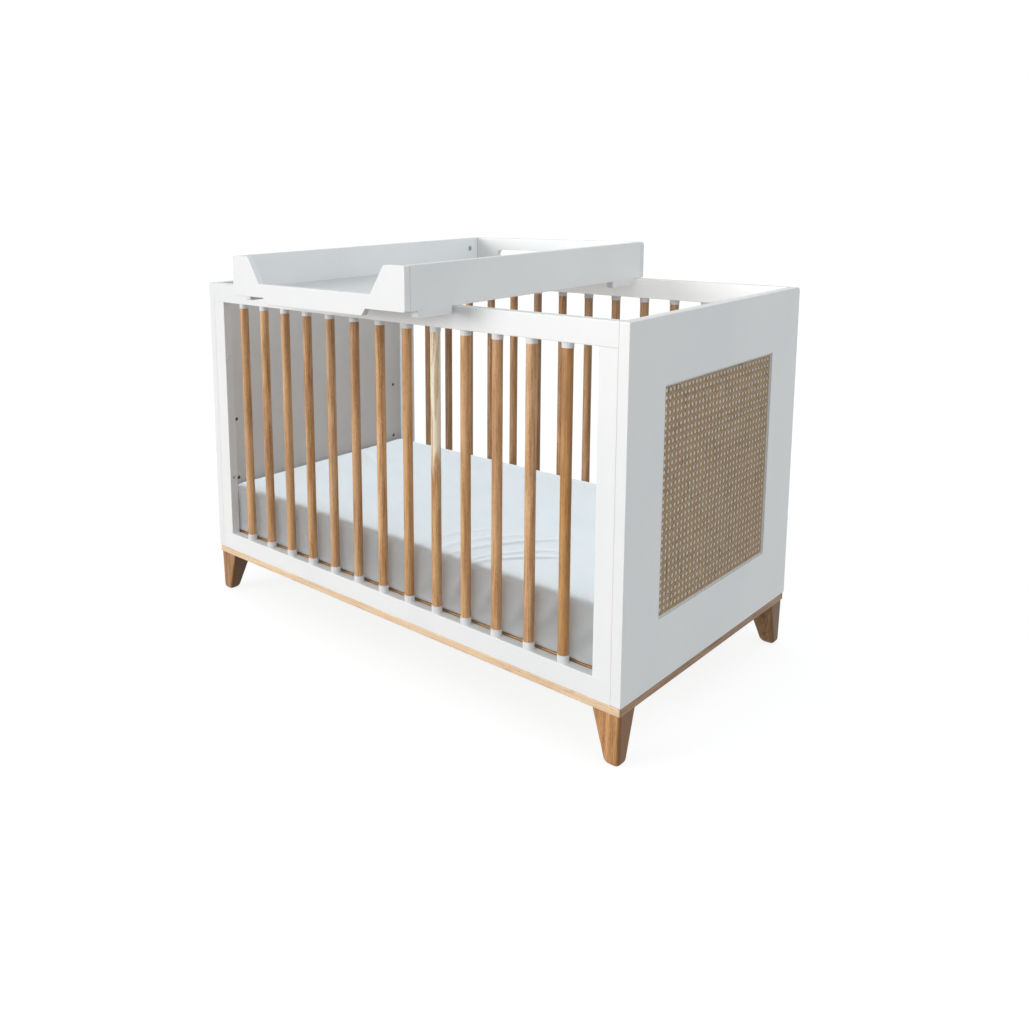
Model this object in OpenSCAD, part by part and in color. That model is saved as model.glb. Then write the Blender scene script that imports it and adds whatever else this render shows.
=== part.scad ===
// Baby crib: two solid end panels with cane insets, a spindle frame at the
// front and the back, a height-adjustable slatted base with its mattress, an
// oak plinth on four tapered feet, and a changing tray that lies across the
// top rails and slides along them.
//
// Axes: +X along the crib, to the right seen from the front; +Y from the
// front to the back; +Z up. The origin is on the floor, under the middle of
// the box around the whole object, tray included.

/* [Body] */
// Length of the body, over both end panels
body_l = 1256; // [1040:1:1510]
// Depth of the body, over the front and the back frame
body_d = 742; // [610:1:895]
// Height of the body, from the plinth to the top of the rails
body_h = 734; // [605:1:885]
// Radius that takes the sharpness off every lacquered edge
edge_r = 1.5; // [1:0.25:3]

/* [End panels] */
// Thickness of an end panel
panel_t = 22; // [18:0.1:28]
// Radius of an end panel's back top corner
panel_corner_r = 10; // [4:0.5:20]
// Radius of an end panel's other corners
panel_small_r = 3; // [2.5:0.25:8]
// Width of solid panel around the cane
cane_border = 134; // [90:1:170]
// Depth of the recess that the cane lies in
cane_recess = 5; // [3:0.5:7]
// Radius of the recess's corners
cane_corner_r = 3; // [1.5:0.5:12]
// Thickness of the cane webbing
cane_t = 2; // [1:0.25:2.5]
// Gap between the cane and the edge of its recess
cane_gap = 0.5; // [0.2:0.1:1]

/* [Spindle frames] */
// Thickness of the front and the back frame
frame_t = 24; // [20:0.1:30]
// Height of a top rail
top_rail_h = 49; // [40:1:70]
// Height of a bottom rail
bottom_rail_h = 46; // [40:1:70]
// Width of a stile
stile_w = 40; // [34:1:60]
// Number of spindles in each frame
spindle_n = 13; // [11:1:13]
// Diameter of a spindle
spindle_d = 22; // [18:0.1:27]
// Diameter of the tenon turned on each end of a spindle
tenon_d = 14; // [10:0.5:16]
// Length of a tenon
tenon_l = 14; // [8:1:20]
// From a stile to the middle of the nearest spindle
spindle_end = 73; // [50:1:85]
// Depth of a tenon's socket beyond its end
socket_end_gap = 0.5; // [0.3:0.1:2]
// Thickness of a ferrule's wall
ferrule_wall = 0.95; // [0.8:0.05:2.5]
// Number of grooves around a ferrule
ferrule_groove_n = 17; // [12:1:28]
// Depth of those grooves
ferrule_groove = 0.3; // [0.2:0.05:0.5]
// Height of the smooth rim at a ferrule's end
ferrule_rim = 1.5; // [1:0.25:3]
// Height of a ferrule at the top of a spindle
ferrule_top_h = 11; // [8:1:20]
// Height of a ferrule at the bottom of a spindle
ferrule_bottom_h = 16; // [8:1:25]
// Radial clearance of a tenon in its socket, and of a spindle in its ferrules
glue_gap = 0.05; // [0.02:0.01:0.1]

/* [Frame bolts and inserts] */
// Diameter of a bolt's shank
bolt_d = 6; // [5:0.5:7]
// Diameter of a bolt's head
bolt_head_d = 10; // [9:0.5:12]
// Height of a bolt's head
bolt_head_h = 6; // [4:0.5:7]
// Size of the hexagon socket in a bolt's head, across its corners
bolt_hex_d = 5; // [4:0.5:6]
// Depth of the hexagon socket
bolt_hex_depth = 4; // [2:0.5:4]
// How far a bolt's head lies below the face of the stile
bolt_head_sink = 1; // [0.5:0.5:3]
// Radial clearance of a bolt's shank in its stile
bolt_clearance = 0.3; // [0.2:0.1:0.6]
// Radial clearance of a bolt's head in its counterbore
bolt_head_clearance = 0.5; // [0.3:0.1:1]
// Length of bolt inside the end panel
bolt_grip = 11; // [8:0.5:12]
// From the lower edge of the body to the lower frame bolt
bolt_low_z = 203.5; // [120:0.5:260]
// From the lower frame bolt to the upper one
bolt_rise = 332; // [200:1:360]
// Outer diameter of a threaded insert
insert_d = 10; // [9:0.5:12]
// Length of a threaded insert
insert_l = 13; // [10:0.5:14]

/* [Mattress base] */
// Height of the lowest row of holes above the lower edge of the body
base_pin_z = 18; // [14:1:24]
// Rise from one row of holes to the next
base_step = 167; // [120:1:180]
// From the outer face of the frames to the columns of holes
base_pin_inset = 58; // [45:1:80]
// Diameter of a support pin
base_pin_d = 8; // [6.5:0.1:10]
// How far a support pin stops short of the base rail's inner face
base_pin_short = 4; // [0:0.5:8]
// Gap between the base and the panels and frames around it
base_gap = 4; // [2:0.5:8]
// Height of the base's side rails
base_rail_h = 25; // [22:1:34]
// How far the slats reach into the side rails' rebates
slat_seat = 12; // [8:1:16]
// Gap around a slat in its rebates
slat_gap = 0.3; // [0.2:0.1:1]
// Rounding of the base's rails and slats
base_edge_r = 1.5; // [1:0.25:2.5]
// Width of the base's rails
base_rail_w = 24; // [18:1:30]
// Number of slats
slat_n = 13; // [9:1:15]
// Width of a slat
slat_w = 56; // [40:1:62]
// Thickness of a slat
slat_t = 8; // [6:0.5:10]
// Thickness of the mattress
mattress_t = 125; // [80:1:150]
// Rounding of the mattress's edges
mattress_edge_r = 14; // [8:1:20]
// Rounding of the mattress's corners, seen from above
mattress_corner_r = 30; // [21:1:60]

/* [Plinth and feet] */
// Thickness of the plinth
plinth_t = 18; // [14:1:24]
// Width of a plinth board
plinth_w = 72; // [66:1:90]
// How far the plinth stands back from the faces of the body
plinth_inset = 1; // [0:0.5:6]
// Rounding of the plinth's outer edges
plinth_edge_r = 3; // [2:0.5:4]
// Rounding of the plinth's corners, seen from above
plinth_corner_r = 5; // [4.5:0.5:12]
// Height of a foot
foot_h = 108; // [80:1:140]
// Width of a foot at its top
foot_top_w = 62; // [50:1:64]
// Width of a foot at its bottom
foot_bottom_w = 32; // [26:1:40]
// How far a foot stands back from the faces of the body
foot_inset = 3; // [2:0.5:8]
// How far the outer faces of a foot lean in
foot_lean = 1; // [0:0.5:6]
// Rounding of a foot's upright edges
foot_corner_r = 4; // [3:0.5:9]
// Rounding of a foot's lower end
foot_toe_r = 5; // [3:0.5:12]
// Rounding of a foot's edge against the plinth
foot_edge_r = 1.5; // [1:0.25:2.5]
// Diameter of a foot's stud
foot_stud_d = 8; // [6:0.5:10]
// Length of a stud inside the foot
foot_stud_l = 34; // [20:1:50]
// Solid wood left in the plinth above a stud's hole
stud_cover = 3; // [3:0.5:6]

/* [Changing tray] */
// Width of the tray
tray_w = 548; // [455:1:660]
// How far the middle of the tray lies to the left of the crib's middle
tray_left = 46; // [0:1:90]
// Height of the tray above the rails
tray_h = 92; // [78:1:120]
// How far the tray stands out in front of the body
tray_front_out = 150; // [60:1:180]
// How far the tray stands out behind the body
tray_back_out = 11; // [0:1:40]
// Thickness of the tray's boards
tray_t = 16; // [13:0.1:20]
// Rounding of the tray's corners
tray_corner_r = 4; // [3:0.5:6]
// Rounding of a front post's inner top corner
post_corner_r = 10; // [5:0.5:14]
// Rounding of the back board's upper corners
tray_back_corner_r = 7; // [3:0.5:14]
// Depth of the feet and of the front tongue below the rails' top
tray_drop = 15; // [8:1:24]
// Length of a foot of the tray
tray_foot_l = 112; // [70:1:120]
// Length of a foot's curved end
tray_foot_curve = 14; // [8:1:24]
// Gap between the feet's curved ends and the rails
tray_hook_gap = 1; // [0.5:0.5:3]
// Gap between the tray and the rails it slides on
tray_seat_gap = 0.2; // [0.1:0.05:0.4]
// Open joint between a side board and the front or the back board
tray_joint = 0.6; // [0.3:0.1:1]
// Height of the front board at its dip, above the rails
dip_z = 31; // [20:1:45]
// Width of a front post at its top
post_top_w = 58; // [45:1:80]
// Run of the slope beside the dip
dip_slope = 38; // [20:1:60]
// Length of raised lower edge at each end of the front board
tongue_end = 110; // [80:1:160]
// Run of the slope at each end of the tongue
tongue_slope = 11; // [6:1:30]
// Length of the hand slot
slot_l = 370; // [120:1:400]
// Height of the hand slot
slot_h = 24; // [20:1:30]
// From the top of the back board to the hand slot
slot_down = 34; // [25:1:45]
// Height of the tray floor's upper face above the rails
tray_floor_z = 14; // [12:1:20]
// Thickness of the tray's floor
tray_floor_t = 8; // [6:0.5:10]
// Depth of the grooves that hold the tray's floor
tray_groove = 6; // [4:0.5:8]
// Clearance of the floor in its grooves
groove_gap = 0.1; // [0.05:0.05:0.3]
// Diameter of a cam fitting
cam_d = 15; // [12:0.5:16]
// Depth of a cam fitting
cam_depth = 12; // [10:0.5:12]
// Length of the cross in a cam's face
cam_cross_l = 8; // [6:0.5:10]
// Width and depth of that cross
cam_cross_w = 1.5; // [1:0.25:2]
// From the end of a side board to the middle of a cam
cam_set_back = 34; // [24:1:40]
// Height of the cams above the rails
cam_z = 62; // [48:1:70]
// Diameter of a cam's bolt
cam_bolt_d = 7; // [5:0.5:8]
// Length of a cam's bolt inside the front or the back board
cam_bolt_in = 10; // [8:0.5:11]
// How far a cam's bolt stops short of the cam's middle
cam_bolt_short = 3; // [2:0.5:5]
// Diameter of a wooden dowel
dowel_d = 8; // [6:0.5:8]
// Length of a wooden dowel on each side of a joint
dowel_half = 10; // [8:0.5:11]
// Height of the dowels above the rails
dowel_z = 28; // [26:1:34]

/* [Hidden] */
$fn = 48;

LEFT = -1;
RIGHT = 1;
FRONT = -1;
BACK = 1;

WHITE = [0.96, 0.96, 0.96];
PLASTIC = [0.88, 0.89, 0.9];
OAK = [0.72, 0.52, 0.33];
FOOT_WOOD = [0.58, 0.38, 0.2];
CANE = [0.66, 0.54, 0.38];
STEEL = [0.6, 0.61, 0.63];
SHEET = [0.86, 0.9, 0.93];

// Where the body stands: its lower edge above the floor, and its middle
// behind the origin, because the tray stands out further at the front.
body_z = foot_h + plinth_t;
body_y = (tray_front_out - tray_back_out) / 2;

inner_l = body_l - 2 * panel_t;
inner_d = body_d - 2 * frame_t;
frame_y = body_d / 2 - frame_t / 2;
socket_d = tenon_d + 2 * glue_gap;
socket_depth = tenon_l + socket_end_gap;
ferrule_bore = spindle_d + 2 * glue_gap;
ferrule_d = ferrule_bore + 2 * ferrule_wall;
rib_drop = 0.1;
stile_h = body_h - top_rail_h - bottom_rail_h;
spindle_pitch = (inner_l - 2 * stile_w - 2 * spindle_end) / (spindle_n - 1);
cane_l = body_d - 2 * cane_border;
cane_h = body_h - 2 * cane_border;

pin_y = body_d / 2 - base_pin_inset;
base_l = inner_l - 2 * base_gap;
base_d = inner_d - 2 * base_gap;
seat_gap = 0.2;
hole_end_gap = 1.5;
base_z = base_pin_z + base_pin_d / 2 + seat_gap;
slat_z = base_z + base_rail_h - slat_t;
mattress_z = base_z + base_rail_h + seat_gap;

tray_y0 = -body_d / 2 - tray_front_out;
tray_y1 = body_d / 2 + tray_back_out;
tray_z0 = body_h + tray_seat_gap;
tray_z1 = body_h + tray_h;
tray_side_l = tray_y1 - tray_y0 - 2 * tray_t - 2 * tray_joint;
tray_in_w = tray_w - 2 * tray_t;

// ---- shared shapes ----

// Points of an arc around c, from angle a0 to a1
function arc(c, r, a0, a1, n = 4) =
    [for (i = [0:n]) c + r * [cos(a0 + (a1 - a0) * i / n), sin(a0 + (a1 - a0) * i / n)]];

// Outline of a w x h section, centred, with rounded corners
function section(w, h, r) = concat(
    arc([w / 2 - r, h / 2 - r], r, 0, 90),
    arc([-w / 2 + r, h / 2 - r], r, 90, 180),
    arc([-w / 2 + r, -h / 2 + r], r, 180, 270),
    arc([w / 2 - r, -h / 2 + r], r, 270, 360)
);

// A bar with eased long edges, along Z, centred on its section
module bar(w, h, l, r = edge_r) {
    linear_extrude(l) polygon(section(w, h, r));
}

// A bar along X, centred on the origin
module bar_x(l, d, h, r = edge_r) {
    translate([-l / 2, 0, 0]) rotate([90, 0, 90]) bar(d, h, l, r);
}

// A round button of thickness t with eased rims: the corner of a board
module button(r, t, ease = edge_r) {
    rotate_extrude($fn = 32) polygon(concat(
        [[0, -t / 2]],
        arc([r - ease, -t / 2 + ease], ease, -90, 0, 3),
        arc([r - ease, t / 2 - ease], ease, 0, 90, 3),
        [[0, t / 2]]
    ));
}

// A convex board with eased edges: each corner is [x, y, radius]
module board(corners, t, ease = edge_r) {
    hull() for (c = corners) translate([c[0], c[1], 0]) button(c[2], t, ease);
}

// Corners of a w x h board, centred; r lists the radii of its corners:
// lower right, lower left, upper left, upper right
function rectangle(w, h, r) = [
    [w / 2 - r[0], -h / 2 + r[0], r[0]], [-w / 2 + r[1], -h / 2 + r[1], r[1]],
    [-w / 2 + r[2], h / 2 - r[2], r[2]], [w / 2 - r[3], h / 2 - r[3], r[3]]
];

// The same radius at all four corners
function all_corners(r) = [r, r, r, r];

// Places children in the body's frame: origin in the middle of its lower face
module in_body() translate([0, body_y, body_z]) children();

// Stands a board that was drawn in XY upright, facing along X or along Y
module facing_x() rotate([90, 0, 90]) children();
module facing_y() rotate([90, 0, 0]) children();

// A round piece along X, from x = 0 towards +X
module rod_x(d, l) rotate([0, 90, 0]) cylinder(d = d, h = l);

// ---- end panels and cane ----

// Puts children at each frame bolt of one end panel, on its inner face
module at_frame_bolts() {
    for (side = [FRONT, BACK]) for (k = [0, 1])
        translate([0, side * frame_y, bolt_low_z + k * bolt_rise]) children();
}

// Puts children at each row of holes for the base, on one end panel
module at_base_holes(rows) {
    for (side = [FRONT, BACK]) for (k = rows)
        translate([0, side * pin_y, base_pin_z + k * base_step]) children();
}

// The right end panel, its inner face on x = 0
module end_panel() {
    difference() {
        translate([panel_t / 2, 0, body_h / 2]) facing_x()
            board(rectangle(body_d, body_h, [panel_small_r, panel_small_r, panel_small_r, panel_corner_r]),
                panel_t);
        translate([panel_t - cane_recess, 0, body_h / 2]) facing_x()
            linear_extrude(cane_recess + 1) polygon(section(cane_l, cane_h, cane_corner_r));
        at_frame_bolts() translate([-1, 0, 0]) rod_x(insert_d, insert_l + 1);
        at_base_holes([0, 1, 2]) translate([-1, 0, 0]) rod_x(insert_d, insert_l + 1);
    }
}

// Puts a piece drawn for the right end at either end
module at_end(side) {
    if (side == RIGHT) in_body() translate([inner_l / 2, 0, 0]) children();
    else in_body() mirror([1, 0, 0]) translate([inner_l / 2, 0, 0]) children();
}

module end_panel_left() color(WHITE) at_end(LEFT) end_panel();
module end_panel_right() color(WHITE) at_end(RIGHT) end_panel();

// The webbing lies on the floor of its recess
module cane() {
    translate([panel_t - cane_recess, 0, body_h / 2]) facing_x() linear_extrude(cane_t)
        polygon(section(cane_l - 2 * cane_gap, cane_h - 2 * cane_gap, cane_corner_r - cane_gap));
}

module cane_left() color(CANE) at_end(LEFT) cane();
module cane_right() color(CANE) at_end(RIGHT) cane();

// ---- inserts, frame bolts and support pins ----

module insert() {
    difference() {
        rod_x(insert_d, insert_l);
        translate([-1, 0, 0]) rod_x(bolt_d + 2 * glue_gap, insert_l + 2);
    }
}

module threaded_inserts() {
    color(STEEL) for (side = [LEFT, RIGHT]) at_end(side) {
        at_frame_bolts() insert();
        at_base_holes([0, 1, 2]) insert();
    }
}

// A socket-head bolt: its head is let into the stile's inner edge
module frame_bolt() {
    head_x = -stile_w + bolt_head_sink;
    difference() {
        union() {
            translate([head_x, 0, 0]) rod_x(bolt_head_d, bolt_head_h);
            translate([head_x, 0, 0]) rod_x(bolt_d, stile_w - bolt_head_sink + bolt_grip);
        }
        translate([head_x - 1, 0, 0]) rotate([0, 90, 0])
            cylinder(d = bolt_hex_d, h = bolt_hex_depth + 1, $fn = 6);
    }
}

module frame_bolts() {
    color(STEEL) for (side = [LEFT, RIGHT]) at_end(side) at_frame_bolts() frame_bolt();
}

// A pin screwed into an insert: the base's end rail lies on its smooth part
module base_pin() {
    reach = base_gap + base_rail_w - base_pin_short;
    translate([-reach, 0, 0]) rod_x(base_pin_d, reach - hole_end_gap / 3);
    translate([-1, 0, 0]) rod_x(bolt_d, bolt_grip + 1);
}

module base_pins() {
    color(STEEL) for (side = [LEFT, RIGHT]) at_end(side) at_base_holes([0]) base_pin();
}

// ---- spindle frames ----

// Puts a piece drawn on y = 0 into the front or the back frame
module at_frame(side) in_body() translate([0, side * frame_y, 0]) children();

module at_spindles() {
    for (i = [0:spindle_n - 1])
        translate([(i - (spindle_n - 1) / 2) * spindle_pitch, 0, 0]) children();
}

module top_rail() {
    difference() {
        translate([0, 0, body_h - top_rail_h / 2]) bar_x(inner_l, frame_t, top_rail_h);
        at_spindles() translate([0, 0, body_h - top_rail_h - 1])
            cylinder(d = socket_d, h = socket_depth + 1);
    }
}

module bottom_rail() {
    difference() {
        translate([0, 0, bottom_rail_h / 2]) bar_x(inner_l, frame_t, bottom_rail_h);
        at_spindles() translate([0, 0, bottom_rail_h - socket_depth])
            cylinder(d = socket_d, h = socket_depth + 1);
    }
}

// The right stile of a frame, bored for its two bolts
module stile() {
    difference() {
        translate([inner_l / 2 - stile_w / 2, 0, bottom_rail_h]) bar(stile_w, frame_t, stile_h);
        for (k = [0, 1]) translate([inner_l / 2, 0, bolt_low_z + k * bolt_rise]) {
            translate([-stile_w - 1, 0, 0]) rod_x(bolt_d + 2 * bolt_clearance, stile_w + 2);
            translate([-stile_w - 1, 0, 0])
                rod_x(bolt_head_d + 2 * bolt_head_clearance, bolt_head_sink + bolt_head_h + 1);
        }
    }
}

module front_top_rail() color(WHITE) at_frame(FRONT) top_rail();
module front_bottom_rail() color(WHITE) at_frame(FRONT) bottom_rail();
module front_left_stile() color(WHITE) at_frame(FRONT) mirror([1, 0, 0]) stile();
module front_right_stile() color(WHITE) at_frame(FRONT) stile();
module back_top_rail() color(WHITE) at_frame(BACK) top_rail();
module back_bottom_rail() color(WHITE) at_frame(BACK) bottom_rail();
module back_left_stile() color(WHITE) at_frame(BACK) mirror([1, 0, 0]) stile();
module back_right_stile() color(WHITE) at_frame(BACK) stile();

// Spindle number i, counted from the left: it stands between the rails on its
// shoulders, and its tenons are glued into them
module spindle(side, i) {
    color(OAK) at_frame(side)
        translate([(i - (spindle_n + 1) / 2) * spindle_pitch, 0, bottom_rail_h]) {
            cylinder(d = spindle_d, h = stile_h);
            translate([0, 0, -tenon_l]) cylinder(d = tenon_d, h = stile_h + 2 * tenon_l);
        }
}

// A sleeve with V grooves along it and a smooth, slightly proud rim: it stands
// on a rail at z = 0
module ferrule(h) {
    turns = 2 * ferrule_groove_n;
    rib_r = ferrule_d / 2 - rib_drop;
    difference() {
        union() {
            linear_extrude(h) polygon([for (i = [0:turns - 1])
                (rib_r - (i % 2) * ferrule_groove) * [cos(360 * i / turns), sin(360 * i / turns)]
            ]);
            translate([0, 0, h - ferrule_rim]) cylinder(d = ferrule_d, h = ferrule_rim, $fn = 96);
        }
        translate([0, 0, -1]) cylinder(d = ferrule_bore, h = h + 2, $fn = 96);
    }
}

module ferrules() {
    color(PLASTIC) for (side = [FRONT, BACK]) at_frame(side) at_spindles() {
        translate([0, 0, bottom_rail_h]) ferrule(ferrule_bottom_h);
        translate([0, 0, body_h - top_rail_h]) mirror([0, 0, 1]) ferrule(ferrule_top_h);
    }
}

// ---- plinth and feet ----

// The whole plinth ring: the boards are cut out of it along its mitres
module plinth_ring() {
    difference() {
        translate([0, 0, -plinth_t / 2])
            board(rectangle(body_l - 2 * plinth_inset, body_d - 2 * plinth_inset,
                all_corners(plinth_corner_r)), plinth_t, plinth_edge_r);
        cube([body_l - 2 * plinth_w, body_d - 2 * plinth_w, 4 * plinth_t], center = true);
        for (x = [LEFT, RIGHT]) for (y = [FRONT, BACK])
            translate([x * foot_mid_x, y * foot_mid_y, -2 * plinth_t])
                cylinder(d = foot_stud_d + 2 * glue_gap, h = 2 * plinth_t - stud_cover);
    }
}

// The wedge between the mitres at one end of the ring
module end_wedge() {
    linear_extrude(4 * plinth_t, center = true) polygon([
        [body_l / 2 + body_d, body_d / 2 + body_d],
        [body_l / 2 - body_d / 2, 0],
        [body_l / 2 + body_d, -body_d / 2 - body_d]
    ]);
}

module plinth_ends() {
    color(OAK) in_body() for (m = [0, 1]) mirror([m, 0, 0])
        intersection() { plinth_ring(); end_wedge(); }
}

module plinth_sides() {
    color(OAK) in_body() difference() {
        plinth_ring();
        end_wedge();
        mirror([1, 0, 0]) end_wedge();
    }
}

foot_mid_x = body_l / 2 - foot_inset - foot_top_w / 2;
foot_mid_y = body_d / 2 - foot_inset - foot_top_w / 2;

// A foot under the back right corner: it tapers on its two inner faces
module foot() {
    top = foot_top_w / 2 - foot_corner_r;
    toe_r = max(foot_toe_r, foot_corner_r) + 0.5;
    out = foot_top_w / 2 - foot_lean - toe_r;
    in = out - foot_bottom_w + 2 * toe_r;
    toe_t = 2 * foot_toe_r + 1;
    top_t = 2 * foot_edge_r + 1;
    difference() {
        hull() {
            for (x = [-top, top]) for (y = [-top, top])
                translate([x, y, foot_h - top_t / 2]) button(foot_corner_r, top_t, foot_edge_r);
            for (x = [in, out]) for (y = [in, out])
                translate([x, y, toe_t / 2]) button(toe_r, toe_t, foot_toe_r);
        }
        translate([0, 0, foot_h - foot_stud_l]) cylinder(d = foot_stud_d + 2 * glue_gap, h = foot_stud_l + 1);
    }
}

// Puts a piece drawn for the back right foot under any corner
module at_foot(x, y) {
    translate([0, body_y, 0]) mirror([x == LEFT ? 1 : 0, 0, 0]) mirror([0, y == FRONT ? 1 : 0, 0])
        translate([foot_mid_x, foot_mid_y, 0]) children();
}

module foot_front_left() color(FOOT_WOOD) at_foot(LEFT, FRONT) foot();
module foot_front_right() color(FOOT_WOOD) at_foot(RIGHT, FRONT) foot();
module foot_back_left() color(FOOT_WOOD) at_foot(LEFT, BACK) foot();
module foot_back_right() color(FOOT_WOOD) at_foot(RIGHT, BACK) foot();

module foot_studs() {
    color(STEEL) for (x = [LEFT, RIGHT]) for (y = [FRONT, BACK]) at_foot(x, y)
        translate([0, 0, foot_h - foot_stud_l + 1])
            cylinder(d = foot_stud_d, h = foot_stud_l + plinth_t - stud_cover - 2);
}

// ---- mattress base ----

// The side rails have a rebate along their inner upper edge, for the slats
module base_side_rails() {
    color(OAK) in_body() difference() {
        for (side = [FRONT, BACK])
            translate([0, side * (base_d - base_rail_w) / 2, base_z + base_rail_h / 2])
                bar_x(base_l, base_rail_w, base_rail_h, base_edge_r);
        translate([-base_l / 2 - 1, -base_d / 2 + base_rail_w - slat_seat, slat_z])
            cube([base_l + 2, base_d - 2 * base_rail_w + 2 * slat_seat, slat_t + 1]);
    }
}

// The end rails lie under the outermost slats, between the side rails
module base_end_rails() {
    rail_l = base_d - 2 * base_rail_w;
    rail_h = base_rail_h - slat_t;
    color(OAK) in_body() for (side = [LEFT, RIGHT])
        translate([side * (base_l - base_rail_w) / 2, 0, base_z + rail_h / 2])
            rotate([0, 0, 90]) bar_x(rail_l, base_rail_w, rail_h, base_edge_r);
}

module base_slats() {
    pitch = (base_l - slat_w) / (slat_n - 1);
    slat_l = base_d - 2 * base_rail_w + 2 * slat_seat - 2 * slat_gap;
    color(OAK) in_body() for (i = [0:slat_n - 1])
        translate([-(base_l - slat_w) / 2 + i * pitch, 0, slat_z + slat_t / 2])
            rotate([0, 0, 90]) bar_x(slat_l, slat_w, slat_t, base_edge_r);
}

module mattress() {
    color(SHEET) in_body() translate([0, 0, mattress_z + mattress_t / 2])
        board(rectangle(base_l, base_d, all_corners(mattress_corner_r)), mattress_t, mattress_edge_r);
}

// ---- changing tray ----

// Places children in the tray's frame: the middle of its width, on the
// plane of the rails' top
module in_tray() in_body() translate([-tray_left, 0, body_h]) children();

// A groove for the floor, along X, opening towards -Y at y = 0
module groove(l) {
    translate([-l / 2, -1, tray_floor_z - tray_floor_t - groove_gap])
        cube([l, tray_groove + groove_gap + 1, tray_floor_t + 2 * groove_gap]);
}

// Blind holes in a front or back board, from its inner face at y = 0 into +Y
module joint_holes() {
    for (x = [-1, 1]) translate([x * (tray_w - tray_t) / 2, -1, 0]) rotate([-90, 0, 0]) {
        translate([0, -cam_z, 0])
            cylinder(d = cam_bolt_d + 2 * glue_gap, h = cam_bolt_in + hole_end_gap + 1);
        translate([0, -dowel_z, 0])
            cylinder(d = dowel_d + 2 * glue_gap, h = dowel_half + hole_end_gap + 1);
    }
}

// Where a corner of radius r has its centre, at height z, so that it touches
// a sloping edge on its left: the edge starts at x0, z0 and runs by lean * z
function beside_edge(x0, z0, lean, z, r) = x0 + lean * (z - z0) + r * sqrt(1 + lean * lean);

// The front board: a full-width lower board, a post at each end, and a
// tongue that hangs below the rails' top
module tray_front_outline() {
    r = tray_corner_r;
    out = tray_w / 2 - r;
    low = tray_seat_gap + r;
    dip = dip_z - r;
    dip_x = tray_w / 2 - post_top_w - dip_slope;
    dip_lean = dip_slope / (tray_h - dip_z);
    tongue_x = -tray_w / 2 + tongue_end;
    tongue_lean = -tongue_slope / (tray_drop + tray_seat_gap);
    board([[-out, low, r], [out, low, r], [-out, dip, r], [out, dip, r]], tray_t);
    for (m = [0, 1]) mirror([m, 0, 0]) board([
        [out, low, r], [out, tray_h - r, r],
        [
            beside_edge(dip_x, dip_z, dip_lean, tray_h - post_corner_r, post_corner_r),
            tray_h - post_corner_r, post_corner_r
        ],
        [beside_edge(dip_x, dip_z, dip_lean, dip, r), dip, r],
        [beside_edge(dip_x, dip_z, dip_lean, dip, r), low, r]
    ], tray_t);
    board([for (m = [-1, 1]) for (z = [r - tray_drop, low + r])
        [m * beside_edge(tongue_x, tray_seat_gap, tongue_lean, z, r), z, r]
    ], tray_t);
}

module tray_front() {
    color(WHITE) in_tray() translate([0, tray_y0 + tray_t, 0]) difference() {
        translate([0, -tray_t / 2, 0]) facing_y() tray_front_outline();
        mirror([0, 1, 0]) groove(tray_in_w + 2 * tray_groove);
        mirror([0, 1, 0]) joint_holes();
    }
}

module tray_back() {
    color(WHITE) in_tray() translate([0, tray_y1 - tray_t, 0]) difference() {
        translate([0, tray_t / 2, (tray_h + tray_seat_gap) / 2]) facing_y()
            board(rectangle(tray_w, tray_h - tray_seat_gap,
                [tray_corner_r, tray_corner_r, tray_back_corner_r, tray_back_corner_r]), tray_t);
        hand_slot();
        groove(tray_in_w + 2 * tray_groove);
        joint_holes();
    }
}

// The hand slot, with half-round ends
module hand_slot() {
    reach = (slot_l - slot_h) / 2;
    translate([0, -1, tray_h - slot_down - slot_h / 2]) rotate([-90, 0, 0])
        linear_extrude(tray_t + 2) {
            square([2 * reach, slot_h], center = true);
            for (x = [-reach, reach]) translate([x, 0]) circle(d = slot_h);
        }
}

// A foot of a side board: straight at its front, curved up to the rail at
// its back. Its curved end meets the board's lower edge at the point (0, 0).
function foot_outline() = concat(
    arc([tray_corner_r - tray_foot_l, tray_corner_r - tray_drop], tray_corner_r, 180, 270),
    arc([-tray_foot_curve, -tray_drop + tray_foot_curve / 2], tray_foot_curve / 2, -90, 0, 6),
    [[-tray_foot_curve / 2, 1], [-tray_foot_l, 1]]
);

// The right side board, drawn in Y and Z; its outer face on x = 0
module tray_side() {
    mid_y = (tray_y0 + tray_y1) / 2;
    front_hook = -body_d / 2 - tray_hook_gap;
    back_hook = body_d / 2 - frame_t - tray_hook_gap;
    difference() {
        union() {
            translate([-tray_t / 2, mid_y, (tray_h + tray_seat_gap) / 2]) facing_x()
                board(rectangle(tray_side_l, tray_h - tray_seat_gap, all_corners(edge_r + 0.2)), tray_t);
            for (y = [front_hook, back_hook]) translate([-tray_t, y, tray_seat_gap + 1])
                facing_x() linear_extrude(tray_t) translate([0, -1]) polygon(foot_outline());
        }
        translate([-tray_t, mid_y, 0]) rotate([0, 0, -90]) groove(tray_side_l);
        for (m = [-1, 1]) translate([0, mid_y + m * tray_side_l / 2, 0]) {
            translate([-tray_t - 1, -m * cam_set_back, cam_z])
                rod_x(cam_d + 2 * glue_gap, cam_depth + 1);
            translate([-tray_t / 2, 0, 0]) rotate([m * 90, 0, 0]) {
                translate([0, m * cam_z, -1])
                    cylinder(d = cam_bolt_d + 2 * glue_gap, h = cam_set_back);
                translate([0, m * dowel_z, -1])
                    cylinder(d = dowel_d + 2 * glue_gap, h = dowel_half + hole_end_gap + 1);
            }
        }
    }
}

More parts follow.
